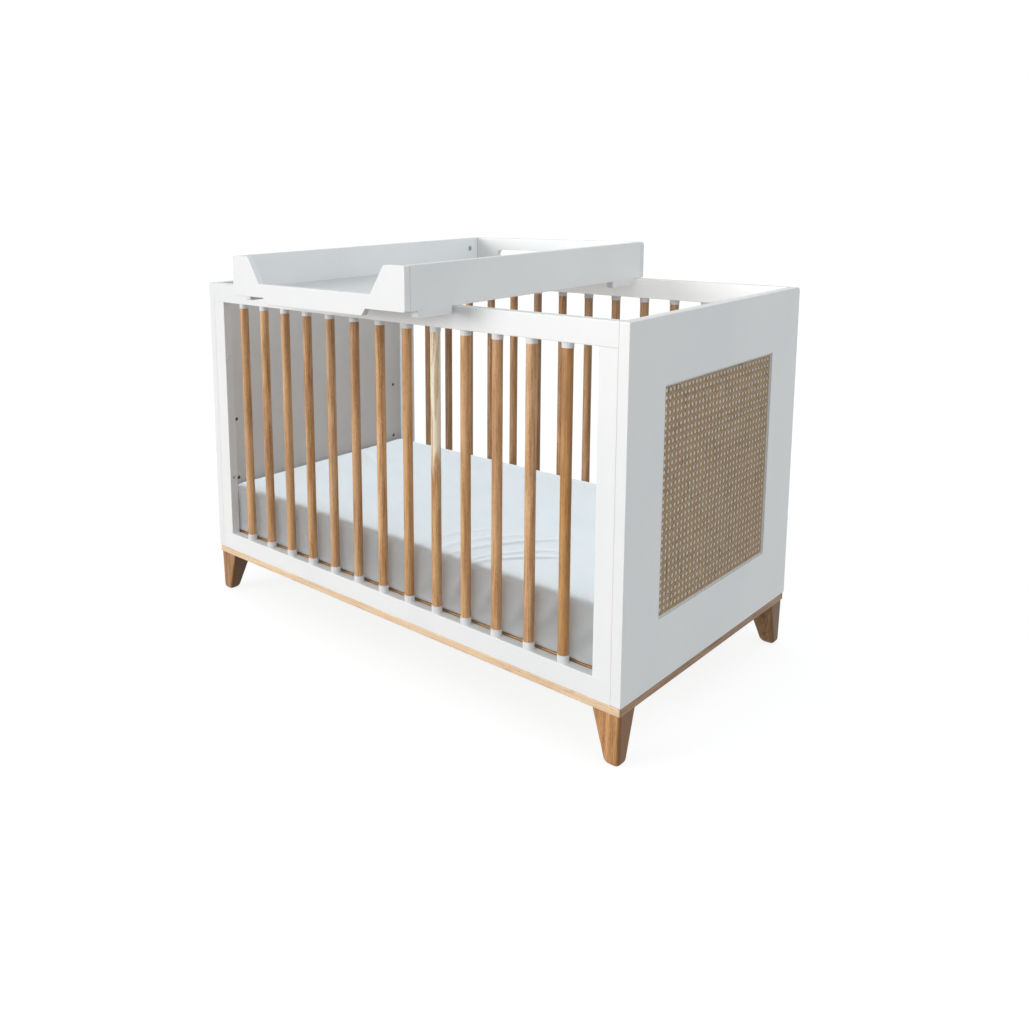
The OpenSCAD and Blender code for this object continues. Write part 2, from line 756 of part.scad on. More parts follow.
module tray_right() color(WHITE) in_tray() translate([tray_w / 2, 0, 0]) tray_side();
module tray_left() color(WHITE) in_tray() mirror([1, 0, 0]) translate([tray_w / 2, 0, 0]) tray_side();

module tray_floor() {
    w = tray_in_w + 2 * tray_groove;
    l = tray_y1 - tray_y0 - 2 * tray_t + 2 * tray_groove;
    color(WHITE) in_tray()
        translate([-w / 2, tray_y0 + tray_t - tray_groove, tray_floor_z - tray_floor_t])
            cube([w, l, tray_floor_t]);
}

// Puts children at the four joints of the tray, drawn for the back right one:
// y = 0 is the back board's inner face, and x = 0 the middle of the side board
module at_tray_joints() {
    for (x = [0, 1]) mirror([x, 0, 0]) {
        translate([(tray_w - tray_t) / 2, tray_y1 - tray_t, 0]) children();
        translate([(tray_w - tray_t) / 2, tray_y0 + tray_t, 0]) mirror([0, 1, 0]) children();
    }
}

// A cam with a cross slot, and the bolt that it draws in
module tray_cams() {
    color(STEEL) in_tray() at_tray_joints() translate([0, 0, cam_z]) {
        translate([-tray_t / 2, -cam_set_back - tray_joint, 0]) difference() {
            rod_x(cam_d, cam_depth);
            cube([2 * cam_cross_w, cam_cross_l, cam_cross_w], center = true);
            cube([2 * cam_cross_w, cam_cross_w, cam_cross_l], center = true);
        }
        translate([0, cam_bolt_short - cam_set_back - tray_joint, 0]) rotate([-90, 0, 0])
            cylinder(d = cam_bolt_d, h = cam_set_back + tray_joint - cam_bolt_short + cam_bolt_in);
    }
}

module tray_dowels() {
    color(OAK) in_tray() at_tray_joints() translate([0, -dowel_half - tray_joint, dowel_z])
        rotate([-90, 0, 0]) cylinder(d = dowel_d, h = 2 * dowel_half + tray_joint);
}

// ---- the parts ----

end_panel_left();
end_panel_right();
cane_left();
cane_right();
front_top_rail();
front_bottom_rail();
front_left_stile();
front_right_stile();
back_top_rail();
back_bottom_rail();
back_left_stile();
back_right_stile();
for (i = [1:spindle_n]) {
    spindle(FRONT, i);
    spindle(BACK, i);
}
ferrules();
frame_bolts();
threaded_inserts();
base_pins();
plinth_sides();
plinth_ends();
foot_front_left();
foot_front_right();
foot_back_left();
foot_back_right();
foot_studs();
base_side_rails();
base_end_rails();
base_slats();
mattress();
tray_front();
tray_back();
tray_left();
tray_right();
tray_floor();
tray_cams();
tray_dowels();
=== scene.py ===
import math

import bmesh
import bpy
import numpy as np
from mathutils import Matrix, Vector


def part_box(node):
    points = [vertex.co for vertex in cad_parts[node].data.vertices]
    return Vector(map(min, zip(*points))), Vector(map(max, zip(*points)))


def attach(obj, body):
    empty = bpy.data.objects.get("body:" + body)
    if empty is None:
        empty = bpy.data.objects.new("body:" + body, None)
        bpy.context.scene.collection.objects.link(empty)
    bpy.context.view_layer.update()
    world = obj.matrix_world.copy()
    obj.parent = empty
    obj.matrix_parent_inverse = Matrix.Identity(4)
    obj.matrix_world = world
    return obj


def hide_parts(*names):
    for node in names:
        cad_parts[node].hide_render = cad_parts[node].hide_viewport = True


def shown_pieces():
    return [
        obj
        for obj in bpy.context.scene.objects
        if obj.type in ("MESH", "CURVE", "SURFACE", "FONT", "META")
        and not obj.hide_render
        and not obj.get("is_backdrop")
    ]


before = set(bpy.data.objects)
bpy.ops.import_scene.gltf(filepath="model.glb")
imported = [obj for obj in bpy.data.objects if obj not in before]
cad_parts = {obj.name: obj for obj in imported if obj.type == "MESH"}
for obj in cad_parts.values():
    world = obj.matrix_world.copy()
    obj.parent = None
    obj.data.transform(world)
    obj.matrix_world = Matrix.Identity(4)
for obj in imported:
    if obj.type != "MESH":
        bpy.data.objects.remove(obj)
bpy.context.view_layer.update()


# ---------------------------------------------------------------------------
# End panels
# Two solid boards that carry everything else. They are sprayed with a white
# satin lacquer, which leaves a very fine skin and hides the grain.

LACQUER_WHITE = (0.92, 0.92, 0.915, 1)
LACQUER_SHADE = (0.885, 0.89, 0.89, 1)
LACQUER_GLOSS = 0.34


def feed(tree, socket, value):
    """Gives a socket a plain value, or the result of another socket."""
    if isinstance(value, bpy.types.NodeSocket):
        tree.links.new(value, socket)
    else:
        socket.default_value = value


def put(tree, kind, settings=None, **into):
    """Adds a node. A socket is named, or _0 for its place, and takes a value or another socket."""
    node = tree.nodes.new(kind)
    for key, value in (settings or {}).items():
        setattr(node, key, value)
    for key, value in into.items():
        feed(tree, node.inputs[int(key[1:]) if key[0] == "_" else key.replace("_", " ")], value)
    return node


def maths(tree, how, *values):
    """The result of one sum on numbers or sockets."""
    node = put(tree, "ShaderNodeMath", {"operation": how})
    for socket, value in zip(node.inputs, values):
        feed(tree, socket, value)
    return node.outputs[0]


def ramp(tree, factor, low, high, to_low=0.0, to_high=1.0):
    """A number brought from low..high to to_low..to_high, and held there."""
    limits = {"From_Min": low, "From_Max": high, "To_Min": to_low, "To_Max": to_high}
    kind = {"interpolation_type": "SMOOTHSTEP"}
    return put(tree, "ShaderNodeMapRange", kind, Value=factor, **limits).outputs["Result"]


def blend_colours(tree, factor, first, second, how="MIX"):
    """Two colours mixed by a factor."""
    kind = {"data_type": "RGBA", "blend_type": how, "clamp_factor": True}
    return put(tree, "ShaderNodeMix", kind, _0=factor, _6=first, _7=second).outputs[2]


def stretched(tree, place, stretch):
    """A place with its three directions scaled, so that a pattern runs long in one of them."""
    return put(tree, "ShaderNodeVectorMath", {"operation": "MULTIPLY"}, _0=place, _1=stretch).outputs[0]


def noise(tree, place, scale, detail, stretch=None, **more):
    """A soft random pattern around 0.5, run long in one way if a stretch is given."""
    if stretch:
        place = stretched(tree, place, stretch)
    return put(tree, "ShaderNodeTexNoise", Vector=place, Scale=scale, Detail=detail, **more).outputs["Fac"]


def axis_of(tree, place, number):
    """One of the three numbers of a place or a direction."""
    return put(tree, "ShaderNodeSeparateXYZ", _0=place).outputs[number]


ORIGIN = (0, 0, 0)


def new_group(name, **inputs):
    """An empty shader group for a colour, a roughness and a height, and its inputs by name."""
    group = bpy.data.node_groups.new(name, "ShaderNodeTree")
    for socket_name, value in inputs.items():
        kind = "Float" if isinstance(value, float) else {3: "Vector", 4: "Color"}[len(value)]
        title = socket_name.replace("_", " ")
        socket = group.interface.new_socket(title, in_out="INPUT", socket_type="NodeSocket" + kind)
        socket.default_value = value
    for socket_name, kind in (("Colour", "Color"), ("Roughness", "Float"), ("Height", "Float")):
        group.interface.new_socket(socket_name, in_out="OUTPUT", socket_type="NodeSocket" + kind)
    return group, group.nodes.new("NodeGroupInput").outputs


def close_group(group, colour, roughness, height):
    """Joins the three results of a group to its output."""
    results = group.nodes.new("NodeGroupOutput").inputs
    for value, socket in zip((colour, roughness, height), results):
        group.links.new(value, socket)


def new_finish(name):
    """An empty material with its Principled shader, and the coordinates of the piece."""
    material = bpy.data.materials.new(name)
    material.use_nodes = True
    tree = material.node_tree
    shader = tree.nodes["Principled BSDF"]
    place = put(tree, "ShaderNodeTexCoord").outputs["Object"]
    return material, tree, shader, place


def wire(tree, shader, colour, roughness, height, depth):
    """Joins a pattern's colour, roughness and height to the shader."""
    tree.links.new(colour, shader.inputs["Base Color"])
    tree.links.new(roughness, shader.inputs["Roughness"])
    bump = put(tree, "ShaderNodeBump", Height=height, Distance=depth, Strength=1.0)
    tree.links.new(bump.outputs["Normal"], shader.inputs["Normal"])


def coat_with(material, *names):
    """Gives the CAD pieces of these names a finish."""
    for name in names:
        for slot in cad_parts[name].material_slots:
            slot.material = material


LACQUER, skin = new_group(
    "sprayed_lacquer", Place=ORIGIN, Colour=LACQUER_WHITE, Shade=LACQUER_SHADE, Gloss=LACQUER_GLOSS
)
clouds = noise(LACQUER, skin["Place"], 3.2, 3.0)
peel = noise(LACQUER, skin["Place"], 620.0, 2.0)
waves = noise(LACQUER, skin["Place"], 70.0, 1.0)
tone = blend_colours(LACQUER, ramp(LACQUER, clouds, 0.42, 0.72), skin["Colour"], skin["Shade"])
rough = maths(LACQUER, "ADD", skin["Gloss"], ramp(LACQUER, waves, 0.3, 0.7, -0.03, 0.05))
close_group(LACQUER, tone, rough, maths(LACQUER, "MULTIPLY_ADD", waves, 2.2, peel))


def lacquer(name, colour=LACQUER_WHITE, shade=LACQUER_SHADE, gloss=LACQUER_GLOSS):
    """White satin lacquer, a little different from piece to piece."""
    material, tree, shader, place = new_finish(name)
    values = {"Place": place, "Colour": colour, "Shade": shade, "Gloss": gloss}
    spray = put(tree, "ShaderNodeGroup", {"node_tree": LACQUER}, **values)
    wire(tree, shader, *spray.outputs[:3], depth=0.00002)
    shader.inputs["Specular IOR Level"].default_value = 0.45
    return material


coat_with(lacquer("panel_lacquer"), "end_panel_left", "end_panel_right")


# ---------------------------------------------------------------------------
# Cane webbing
# Split rattan: upright and level strands in pairs, and single strands both
# ways aslant, which leave one eight-sided hole in each cell. The web fills
# the recess of each end panel, and a flat rim strand covers its cut ends.

CANE_PAIRS = 32
CANE_SIDE_MARGIN = 0.32
CANE_TOP_MARGIN = 0.25
CANE_FOOT_MARGIN = 0.53
STRAND_WIDTH = 0.0025
STRAND_THICK = 0.00068
SLANT_WIDTH = 0.0022
SLANT_THICK = 0.00052
PAIR_APART = 0.155
STRAND_RISE = 0.00040
SLANT_RISE = 0.00042
STRAND_WANDER = 0.028
STRAND_STEPS = 5.0
SLANT_STEPS = 6
SLANT_FLATTENED = 1.7
PAIR_TINTS, RISING_TINTS, FALLING_TINTS = 7.0, 11.0, 23.0
CANE_LIFT = 0.0011
CANE_EDGE = 0.0004
CANE_RIM = 0.0032
CANE_RIM_BACK = 0.0003
CANE_RIM_FRONT = 0.0017
CANE_PALE = (0.79, 0.56, 0.31, 1)
CANE_TAN = (0.57, 0.36, 0.17, 1)
CANE_STAIN = (0.46, 0.27, 0.12, 1)
CANE_WARM = (0.65, 0.38, 0.185, 1)
CANE_BROWN = (0.20, 0.115, 0.05, 1)
CANE_FIBRE = (0.35, 0.215, 0.105, 1)


def new_object(name, data):
    """An object in the scene for a mesh, a curve, a lamp or a camera."""
    made = bpy.data.objects.new(name, data)
    bpy.context.scene.collection.objects.link(made)
    return made


def new_recipe(name, inputs):
    """An empty geometry tree that makes a mesh, with its inputs by name and its output socket."""
    recipe = bpy.data.node_groups.new(name, "GeometryNodeTree")
    recipe.interface.new_socket("Geometry", in_out="OUTPUT", socket_type="NodeSocketGeometry")
    for kind, names in inputs.items():
        for socket_name in names:
            recipe.interface.new_socket(socket_name, in_out="INPUT", socket_type="NodeSocket" + kind)
    given = recipe.nodes.new("NodeGroupInput").outputs
    return recipe, given, recipe.nodes.new("NodeGroupOutput").inputs[0]


def worked_out(obj):
    """What an object's modifiers or bevel make of it, as a mesh."""
    ready = obj.evaluated_get(bpy.context.evaluated_depsgraph_get())
    return bpy.data.meshes.new_from_object(ready)


def from_recipe(name, recipe, **values):
    """Runs a geometry tree once and keeps its result as a plain mesh."""
    holder = new_object(name + "_maker", bpy.data.meshes.new(name + "_maker"))
    modifier = holder.modifiers.new("recipe", "NODES")
    modifier.node_group = recipe
    for item in recipe.interface.items_tree:
        key = item.name.replace(" ", "_")
        if key in values:
            modifier[item.identifier] = values[key]
    made = new_object(name, worked_out(holder))
    made.data.name = name
    holder.modifiers.clear()
    bpy.data.objects.remove(holder)
    return made


def chance(tree, low, high, number, seed):
    """A random number for each strand, the same each time."""
    kind = {"data_type": "FLOAT"}
    return put(tree, "FunctionNodeRandomValue", kind, _2=low, _3=high, ID=number, Seed=seed).outputs[1]


def tinted(tree, lines, number, seed):
    """The lines, each with a tint of its own between 0 and 1."""
    kind = {"data_type": "FLOAT", "domain": "CURVE"}
    shade = chance(tree, 0.0, 1.0, number, seed)
    values = {"Geometry": lines, "Name": "strand", "Value": shade}
    return put(tree, "GeometryNodeStoreNamedAttribute", kind, **values).outputs[0]


def copies(tree, line, count):
    """Many copies of one line, and the number of each."""
    kind = {"domain": "SPLINE"}
    return put(tree, "GeometryNodeDuplicateElements", kind, Geometry=line, Amount=count).outputs


def strands(tree, given, axis, count, length, wave, slot_shift):
    """A set of paired straight strands, weaving over and under the pairs that cross them."""
    along = {"x": (1, 0, 0), "y": (0, 1, 0)}[axis]
    end = put(tree, "ShaderNodeVectorMath", {"operation": "SCALE"}, _0=along, Scale=length)
    line = put(tree, "GeometryNodeCurvePrimitiveLine", End=end.outputs[0])
    step = maths(tree, "DIVIDE", given["Cell"], STRAND_STEPS)
    points = maths(tree, "ADD", maths(tree, "ROUND", maths(tree, "DIVIDE", length, step)), 1.0)
    fine = put(tree, "GeometryNodeResampleCurve", {"mode": "COUNT"}, Curve=line.outputs[0], Count=points)
    many, number = copies(tree, fine.outputs[0], count)
    pair = maths(tree, "FLOOR", maths(tree, "DIVIDE", number, 2.0))
    side = maths(tree, "MULTIPLY_ADD", maths(tree, "MODULO", number, 2.0), 2.0, -1.0)
    wander = chance(tree, -1.0, 1.0, number, given["Seed"])
    across = maths(tree, "ADD", maths(tree, "MULTIPLY_ADD", side, PAIR_APART, pair), slot_shift)
    across = maths(tree, "MULTIPLY_ADD", wander, STRAND_WANDER, across)
    across = maths(tree, "MULTIPLY", across, given["Cell"])
    spot = put(tree, "GeometryNodeInputPosition").outputs[0]
    here = axis_of(tree, spot, 0 if axis == "x" else 1)
    turns = maths(tree, "SUBTRACT", maths(tree, "DIVIDE", here, given["Cell"]), wave)
    sway = maths(tree, "SINE", maths(tree, "MULTIPLY", turns, math.tau))
    over = maths(tree, "MULTIPLY", side, STRAND_RISE if axis == "x" else -STRAND_RISE)
    up = maths(tree, "MULTIPLY", sway, over)
    move = put(tree, "ShaderNodeCombineXYZ", Z=up)
    tree.links.new(across, move.inputs[1 if axis == "x" else 0])
    placed = put(tree, "GeometryNodeSetPosition", Geometry=many, Offset=move.outputs[0])
    return tinted(tree, placed.outputs[0], number, maths(tree, "ADD", given["Seed"], PAIR_TINTS))


def slants(tree, given, way, tints):
    """Single slanting strands, cut off at the four edges of the web."""
    wide = maths(tree, "DIVIDE", given["Width"], given["Cell"])
    high = maths(tree, "DIVIDE", given["Height"], given["Cell"])
    count = maths(tree, "FLOOR", maths(tree, "ADD", wide, high))
    first_line = put(tree, "GeometryNodeCurvePrimitiveLine", End=(1, 0, 0))
    many, number = copies(tree, first_line.outputs[0], count)
    spot = put(tree, "GeometryNodeInputPosition").outputs[0]
    which = axis_of(tree, spot, 0)
    # Way 1 runs on p - q = lane and way -1 on p + q = lane, with q from the bottom edge.
    if way > 0:
        lane = maths(tree, "SUBTRACT", maths(tree, "ADD", number, given["Lane up"]), high)
        p_first = maths(tree, "MAXIMUM", lane, 0.0)
        p_last = maths(tree, "MINIMUM", wide, maths(tree, "ADD", high, lane))
    else:
        lane = maths(tree, "ADD", number, given["Lane down"])
        p_first = maths(tree, "MAXIMUM", maths(tree, "SUBTRACT", lane, high), 0.0)
        p_last = maths(tree, "MINIMUM", wide, lane)
    p_here = maths(tree, "MULTIPLY_ADD", which, maths(tree, "SUBTRACT", p_last, p_first), p_first)
    q_here = maths(tree, "MULTIPLY", maths(tree, "SUBTRACT", p_here, lane), float(way))
    x_here = maths(tree, "MULTIPLY", p_here, given["Cell"])
    y_here = maths(tree, "MULTIPLY", q_here, given["Cell"])
    ends = put(tree, "ShaderNodeCombineXYZ", X=x_here, Y=y_here)
    cut = put(tree, "GeometryNodeSetPosition", Geometry=many, Position=ends.outputs[0])
    step = maths(tree, "MULTIPLY", given["Cell"], math.sqrt(2) / SLANT_STEPS)
    fine = put(tree, "GeometryNodeResampleCurve", {"mode": "LENGTH"}, Curve=cut.outputs[0], Length=step)
    level = maths(tree, "DIVIDE", axis_of(tree, spot, 1), given["Cell"])
    turns = maths(tree, "SUBTRACT", level, given["Level shift"])
    sway = maths(tree, "COSINE", maths(tree, "MULTIPLY", turns, math.tau))
    flat = maths(tree, "MAXIMUM", maths(tree, "MULTIPLY", sway, SLANT_FLATTENED), -1.0)
    flat = maths(tree, "MINIMUM", flat, 1.0)
    up = put(tree, "ShaderNodeCombineXYZ", Z=maths(tree, "MULTIPLY", flat, way * SLANT_RISE))
    placed = put(tree, "GeometryNodeSetPosition", Geometry=fine.outputs[0], Offset=up.outputs[0])
    index = put(tree, "GeometryNodeInputIndex").outputs[0]
    return tinted(tree, placed.outputs[0], index, maths(tree, "ADD", given["Seed"], tints))


def ribbon(tree, lines, width, thick):
    """A thin strip of cane along each line, with a low ridge on both faces and closed ends."""
    flat = put(tree, "GeometryNodeSetCurveNormal", {"mode": "Z_UP"}, Curve=lines)
    sizes = {"Width": width, "Bottom_Height": thick / 2, "Top_Height": thick / 2}
    strip = put(tree, "GeometryNodeCurvePrimitiveQuadrilateral", {"mode": "KITE"}, **sizes)
    values = {"Curve": flat.outputs[0], "Profile_Curve": strip.outputs[0], "Fill_Caps": True}
    return put(tree, "GeometryNodeCurveToMesh", **values).outputs[0]


def finished_web(tree, given, out, ribbons):
    """Joins the strips, lays them on the panel and gives them their finish."""
    joined = put(tree, "GeometryNodeJoinGeometry")
    for one in ribbons:
        tree.links.new(one, joined.inputs[0])
    smooth = put(tree, "GeometryNodeSetShadeSmooth", Geometry=joined.outputs[0])
    setting = {"Translation": given["Corner"], "Rotation": given["Turn"], "Scale": given["Stretch"]}
    laid = put(tree, "GeometryNodeTransform", Geometry=smooth.outputs[0], **setting)
    real = put(tree, "GeometryNodeRealizeInstances", Geometry=laid.outputs[0])
    coated = put(tree, "GeometryNodeSetMaterial", Geometry=real.outputs[0], Material=given["Finish"])
    tree.links.new(coated.outputs[0], out)


WEB_INPUTS = {
    "Float": ("Width", "Height", "Cell", "Upright shift", "Level shift", "Lane up", "Lane down"),
    "Int": ("Uprights", "Levels", "Seed"),
    "Vector": ("Corner", "Stretch"),
    "Rotation": ("Turn",),
    "Material": ("Finish",),
}

pairs_recipe, given, out = new_recipe("cane_pairs", WEB_INPUTS)
shift_up, shift_side = given["Level shift"], given["Upright shift"]
uprights = strands(pairs_recipe, given, "y", given["Uprights"], given["Height"], shift_up, shift_side)
levels = strands(pairs_recipe, given, "x", given["Levels"], given["Width"], shift_side, shift_up)
ribbons = [ribbon(pairs_recipe, lines, STRAND_WIDTH, STRAND_THICK) for lines in (uprights, levels)]
finished_web(pairs_recipe, given, out, ribbons)

slants_recipe, given, out = new_recipe("cane_slants", WEB_INPUTS)
rising = slants(slants_recipe, given, 1, RISING_TINTS)
falling = slants(slants_recipe, given, -1, FALLING_TINTS)
ribbons = [ribbon(slants_recipe, lines, SLANT_WIDTH, SLANT_THICK) for lines in (rising, falling)]
finished_web(slants_recipe, given, out, ribbons)

cane, tree, shader, place = new_finish("cane")
by_strand = {"attribute_type": "GEOMETRY", "attribute_name": "strand"}
strand = put(tree, "ShaderNodeAttribute", by_strand).outputs["Fac"]
stain = noise(tree, place, 55.0, 4.0, Roughness=0.65)
patch = noise(tree, place, 9.0, 2.0)
fibre = noise(tree, place, 900.0, 3.0)
nicks = noise(tree, place, 130.0, 1.0, (1, 1, 0.13))
straw = blend_colours(tree, strand, CANE_PALE, CANE_TAN)
straw = blend_colours(tree, ramp(tree, stain, 0.45, 0.75), straw, CANE_STAIN)
straw = blend_colours(tree, ramp(tree, patch, 0.40, 0.75, 0.0, 0.4), straw, CANE_WARM)
straw = blend_colours(tree, ramp(tree, nicks, 0.68, 0.74, 0.0, 0.8), straw, CANE_BROWN)
straw = blend_colours(tree, ramp(tree, fibre, 0.35, 0.7, 0.0, 0.35), straw, CANE_FIBRE)
wire(tree, shader, straw, ramp(tree, fibre, 0.3, 0.7, 0.38, 0.55), fibre, depth=0.00008)


def add_rim(web, floor_x, out_way, low, high):
    """The strand that closes a web all round, flat against the wall of its recess."""
    made = bmesh.new()
    made.from_mesh(web.data)
    tint = made.verts.layers.float["strand"]
    profile = (
        (CANE_RIM_BACK, 0),
        (CANE_RIM_FRONT, 0),
        (CANE_RIM_FRONT, CANE_RIM),
        (CANE_RIM_BACK, CANE_RIM),
    )
    loops = []
    for lift, inset in profile:
        near_y, far_y = low.y + CANE_EDGE + inset, high.y - CANE_EDGE - inset
        foot_z, top_z = low.z + CANE_EDGE + inset, high.z - CANE_EDGE - inset
        corners = ((near_y, foot_z), (far_y, foot_z), (far_y, top_z), (near_y, top_z))
        loops.append([made.verts.new((floor_x + out_way * lift, y, z)) for y, z in corners])
    for loop in loops:
        for point in loop:
            point[tint] = 1.0
    faces = []
    for this, after in zip(loops, loops[1:] + loops[:1]):
        for i in range(4):
            faces.append(made.faces.new((this[i], this[i - 1], after[i - 1], after[i])))
    bmesh.ops.recalc_face_normals(made, faces=faces)
    made.to_mesh(web.data)
    made.free()


def webbing(side, seed):
    """The two pieces of one panel's web, in the space of its CAD solid."""
    low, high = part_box("cane_" + side)
    out_way = 1 if side == "right" else -1
    wide = high.y - low.y - 2 * CANE_EDGE
    tall = high.z - low.z - 2 * CANE_EDGE
    cell = wide / (CANE_PAIRS - 1 + 2 * CANE_SIDE_MARGIN)
    cells_high = CANE_PAIRS - 1 + CANE_TOP_MARGIN + CANE_FOOT_MARGIN
    floor_x = low.x if side == "right" else high.x
    near_y = low.y + CANE_EDGE if side == "right" else high.y - CANE_EDGE
    lane_up = (CANE_SIDE_MARGIN - CANE_FOOT_MARGIN + 0.5 + cells_high) % 1.0
    lane_down = (CANE_SIDE_MARGIN + CANE_FOOT_MARGIN + 0.5) % 1.0
    sizes = {
        "Width": wide,
        "Height": cells_high * cell,
        "Cell": cell,
        "Uprights": 2 * CANE_PAIRS,
        "Levels": 2 * CANE_PAIRS,
        "Upright_shift": CANE_SIDE_MARGIN,
        "Level_shift": CANE_FOOT_MARGIN,
        "Lane_up": lane_up,
        "Lane_down": lane_down,
        "Seed": seed,
        "Corner": (floor_x + out_way * CANE_LIFT, near_y, low.z + CANE_EDGE),
        "Turn": (math.pi / 2, 0, out_way * math.pi / 2),
        "Stretch": (1.0, tall / (cells_high * cell), 1.0),
        "Finish": cane,
    }
    pairs = from_recipe(f"cane_{side}_pairs", pairs_recipe, **sizes)
    add_rim(pairs, floor_x, out_way, low, high)
    aslant = from_recipe(f"cane_{side}_slants", slants_recipe, **sizes)
    for piece in (pairs, aslant):
        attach(piece, "crib")
    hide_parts("cane_" + side)


webbing("left", 5)
webbing("right", 12)


# ---------------------------------------------------------------------------
# Front and back frames
# Two rails and two stiles each, of the same lacquered board as the panels,
# bolted between them. The stiles' white is set a shade lighter than the rails'.

rail_lacquer = lacquer("rail_lacquer", (0.925, 0.925, 0.92, 1), LACQUER_SHADE, 0.33)
stile_lacquer = lacquer("stile_lacquer", (0.935, 0.935, 0.93, 1), (0.905, 0.91, 0.91, 1), 0.36)
for where in ("front", "back"):
    coat_with(rail_lacquer, where + "_top_rail", where + "_bottom_rail")
    coat_with(stile_lacquer, where + "_left_stile", where + "_right_stile")


# ---------------------------------------------------------------------------
# Spindles
# Turned oak rods, oiled, with the grain upright. No two come from the same
# plank, so each has its own tone, figure and now and then a small knot.

SAPWOOD = (0.97, 0.87, 0.66, 1)
WOOD_PORE = (0.16, 0.08, 0.035, 1)
SAPWOOD_FROM = 0.52
WOOD_FIGURE = 60.0
PLANK_WAY = (0.37, 0.61, 1.13)
UPRIGHT = (0, 0, 0)
LENGTHWAYS = (0, math.pi / 2, 0)
CROSSWAYS = (math.pi / 2, 0, 0)

WOOD, log = new_group(
    "straight_grain",
    Place=ORIGIN,
    Pale=SAPWOOD,
    Dark=WOOD_PORE,
    Pore=WOOD_PORE,
    Figure=WOOD_FIGURE,
    Contrast=1.0,
    Knots=0.0,
    Sapwood=0.0,
    Sapwood_from=SAPWOOD_FROM,
    Dark_sides=0.0,
    Shift=ORIGIN,
)
spot = put(WOOD, "ShaderNodeVectorMath", {"operation": "ADD"}, _0=log["Place"], _1=log["Shift"]).outputs[0]
rings = noise(WOOD, spot, log["Figure"], 3.0, (1, 1, 0.07), Distortion=0.8)
fibres = noise(WOOD, spot, 420.0, 4.0, (1, 1, 0.025))
broad = noise(WOOD, spot, 11.0, 2.0, (1, 1, 0.25))
pores = noise(WOOD, spot, 1300.0, 1.0, (1, 1, 0.045))
flecks = noise(WOOD, spot, 620.0, 2.0, (1, 1, 0.2))
long_spot = stretched(WOOD, spot, (1, 1, 0.55))
knot = put(WOOD, "ShaderNodeTexVoronoi", Vector=long_spot, Scale=6.0, Randomness=1.0).outputs["Distance"]
bands = ramp(WOOD, rings, 0.34, 0.66)
threads = ramp(WOOD, fibres, 0.3, 0.7)
mixed = maths(WOOD, "MULTIPLY_ADD", bands, 0.42, maths(WOOD, "MULTIPLY", threads, 0.45))
mixed = maths(WOOD, "MULTIPLY_ADD", ramp(WOOD, broad, 0.35, 0.65), 0.22, mixed)
mixed = maths(WOOD, "MULTIPLY_ADD", ramp(WOOD, flecks, 0.35, 0.65), 0.2, mixed)
mixed = maths(WOOD, "SUBTRACT", mixed, 0.645)
mixed = maths(WOOD, "MULTIPLY_ADD", mixed, log["Contrast"], 0.5)
body = blend_colours(WOOD, mixed, log["Pale"], log["Dark"])
low_edge = maths(WOOD, "SUBTRACT", axis_of(WOOD, log["Place"], 2), 0.11)
ragged = maths(WOOD, "MULTIPLY_ADD", rings, 0.22, low_edge)
past_edge = maths(WOOD, "SUBTRACT", ragged, log["Sapwood from"])
outer = maths(WOOD, "MULTIPLY", ramp(WOOD, past_edge, -0.02, 0.02), log["Sapwood"])
outer = maths(WOOD, "MULTIPLY", outer, ramp(WOOD, bands, 0.6, 1.0, 0.95, 0.35))
body = blend_colours(WOOD, outer, body, SAPWOOD)
# Faces that look along the crib's length are blended towards the dark colour by this input: painted shade.
outward = put(WOOD, "ShaderNodeNewGeometry").outputs["Normal"]
facing = maths(WOOD, "ABSOLUTE", axis_of(WOOD, outward, 0))
painted_side_shade = maths(WOOD, "MULTIPLY", ramp(WOOD, facing, 0.35, 0.85), log["Dark sides"])
body = blend_colours(WOOD, painted_side_shade, body, log["Dark"])
dashes = ramp(WOOD, pores, 0.6, 0.72, 0.0, 0.6)
dashes = maths(WOOD, "MULTIPLY", dashes, ramp(WOOD, bands, 0.2, 0.8, 0.25, 1.0))
body = blend_colours(WOOD, dashes, body, log["Pore"])
eye = maths(WOOD, "MULTIPLY", ramp(WOOD, knot, 0.07, 0.02), log["Knots"])
halo = maths(WOOD, "MULTIPLY", ramp(WOOD, knot, 0.22, 0.05, 0.0, 0.45), log["Knots"])
body = blend_colours(WOOD, halo, body, log["Dark"])
body = blend_colours(WOOD, eye, body, log["Pore"])
relief = maths(WOOD, "SUBTRACT", maths(WOOD, "MULTIPLY", threads, 0.5), dashes)
close_group(WOOD, body, ramp(WOOD, threads, 0.0, 1.0, 0.40, 0.54), relief)


def wood(name, pale, dark, grain=UPRIGHT, figure=WOOD_FIGURE, shift=0.0, **more):
    """A wood with its grain upright, or along the crib, or across it."""
    material, tree, shader, place = new_finish(name)
    turned = put(tree, "ShaderNodeMapping", {"vector_type": "POINT"}, Vector=place, Rotation=grain)
    looks = {"Pale": pale, "Dark": dark, "Figure": figure, "Shift": tuple(shift * way for way in PLANK_WAY)}
    cut = put(tree, "ShaderNodeGroup", {"node_tree": WOOD}, Place=turned.outputs[0], **looks, **more)
    wire(tree, shader, *cut.outputs[:3], depth=0.00012)
    shader.inputs["Specular IOR Level"].default_value = 0.4
    return material


def cast_over(colour, cast):
    """A colour with each of its three parts scaled."""
    return (*(part * scale for part, scale in zip(colour, cast)), 1)


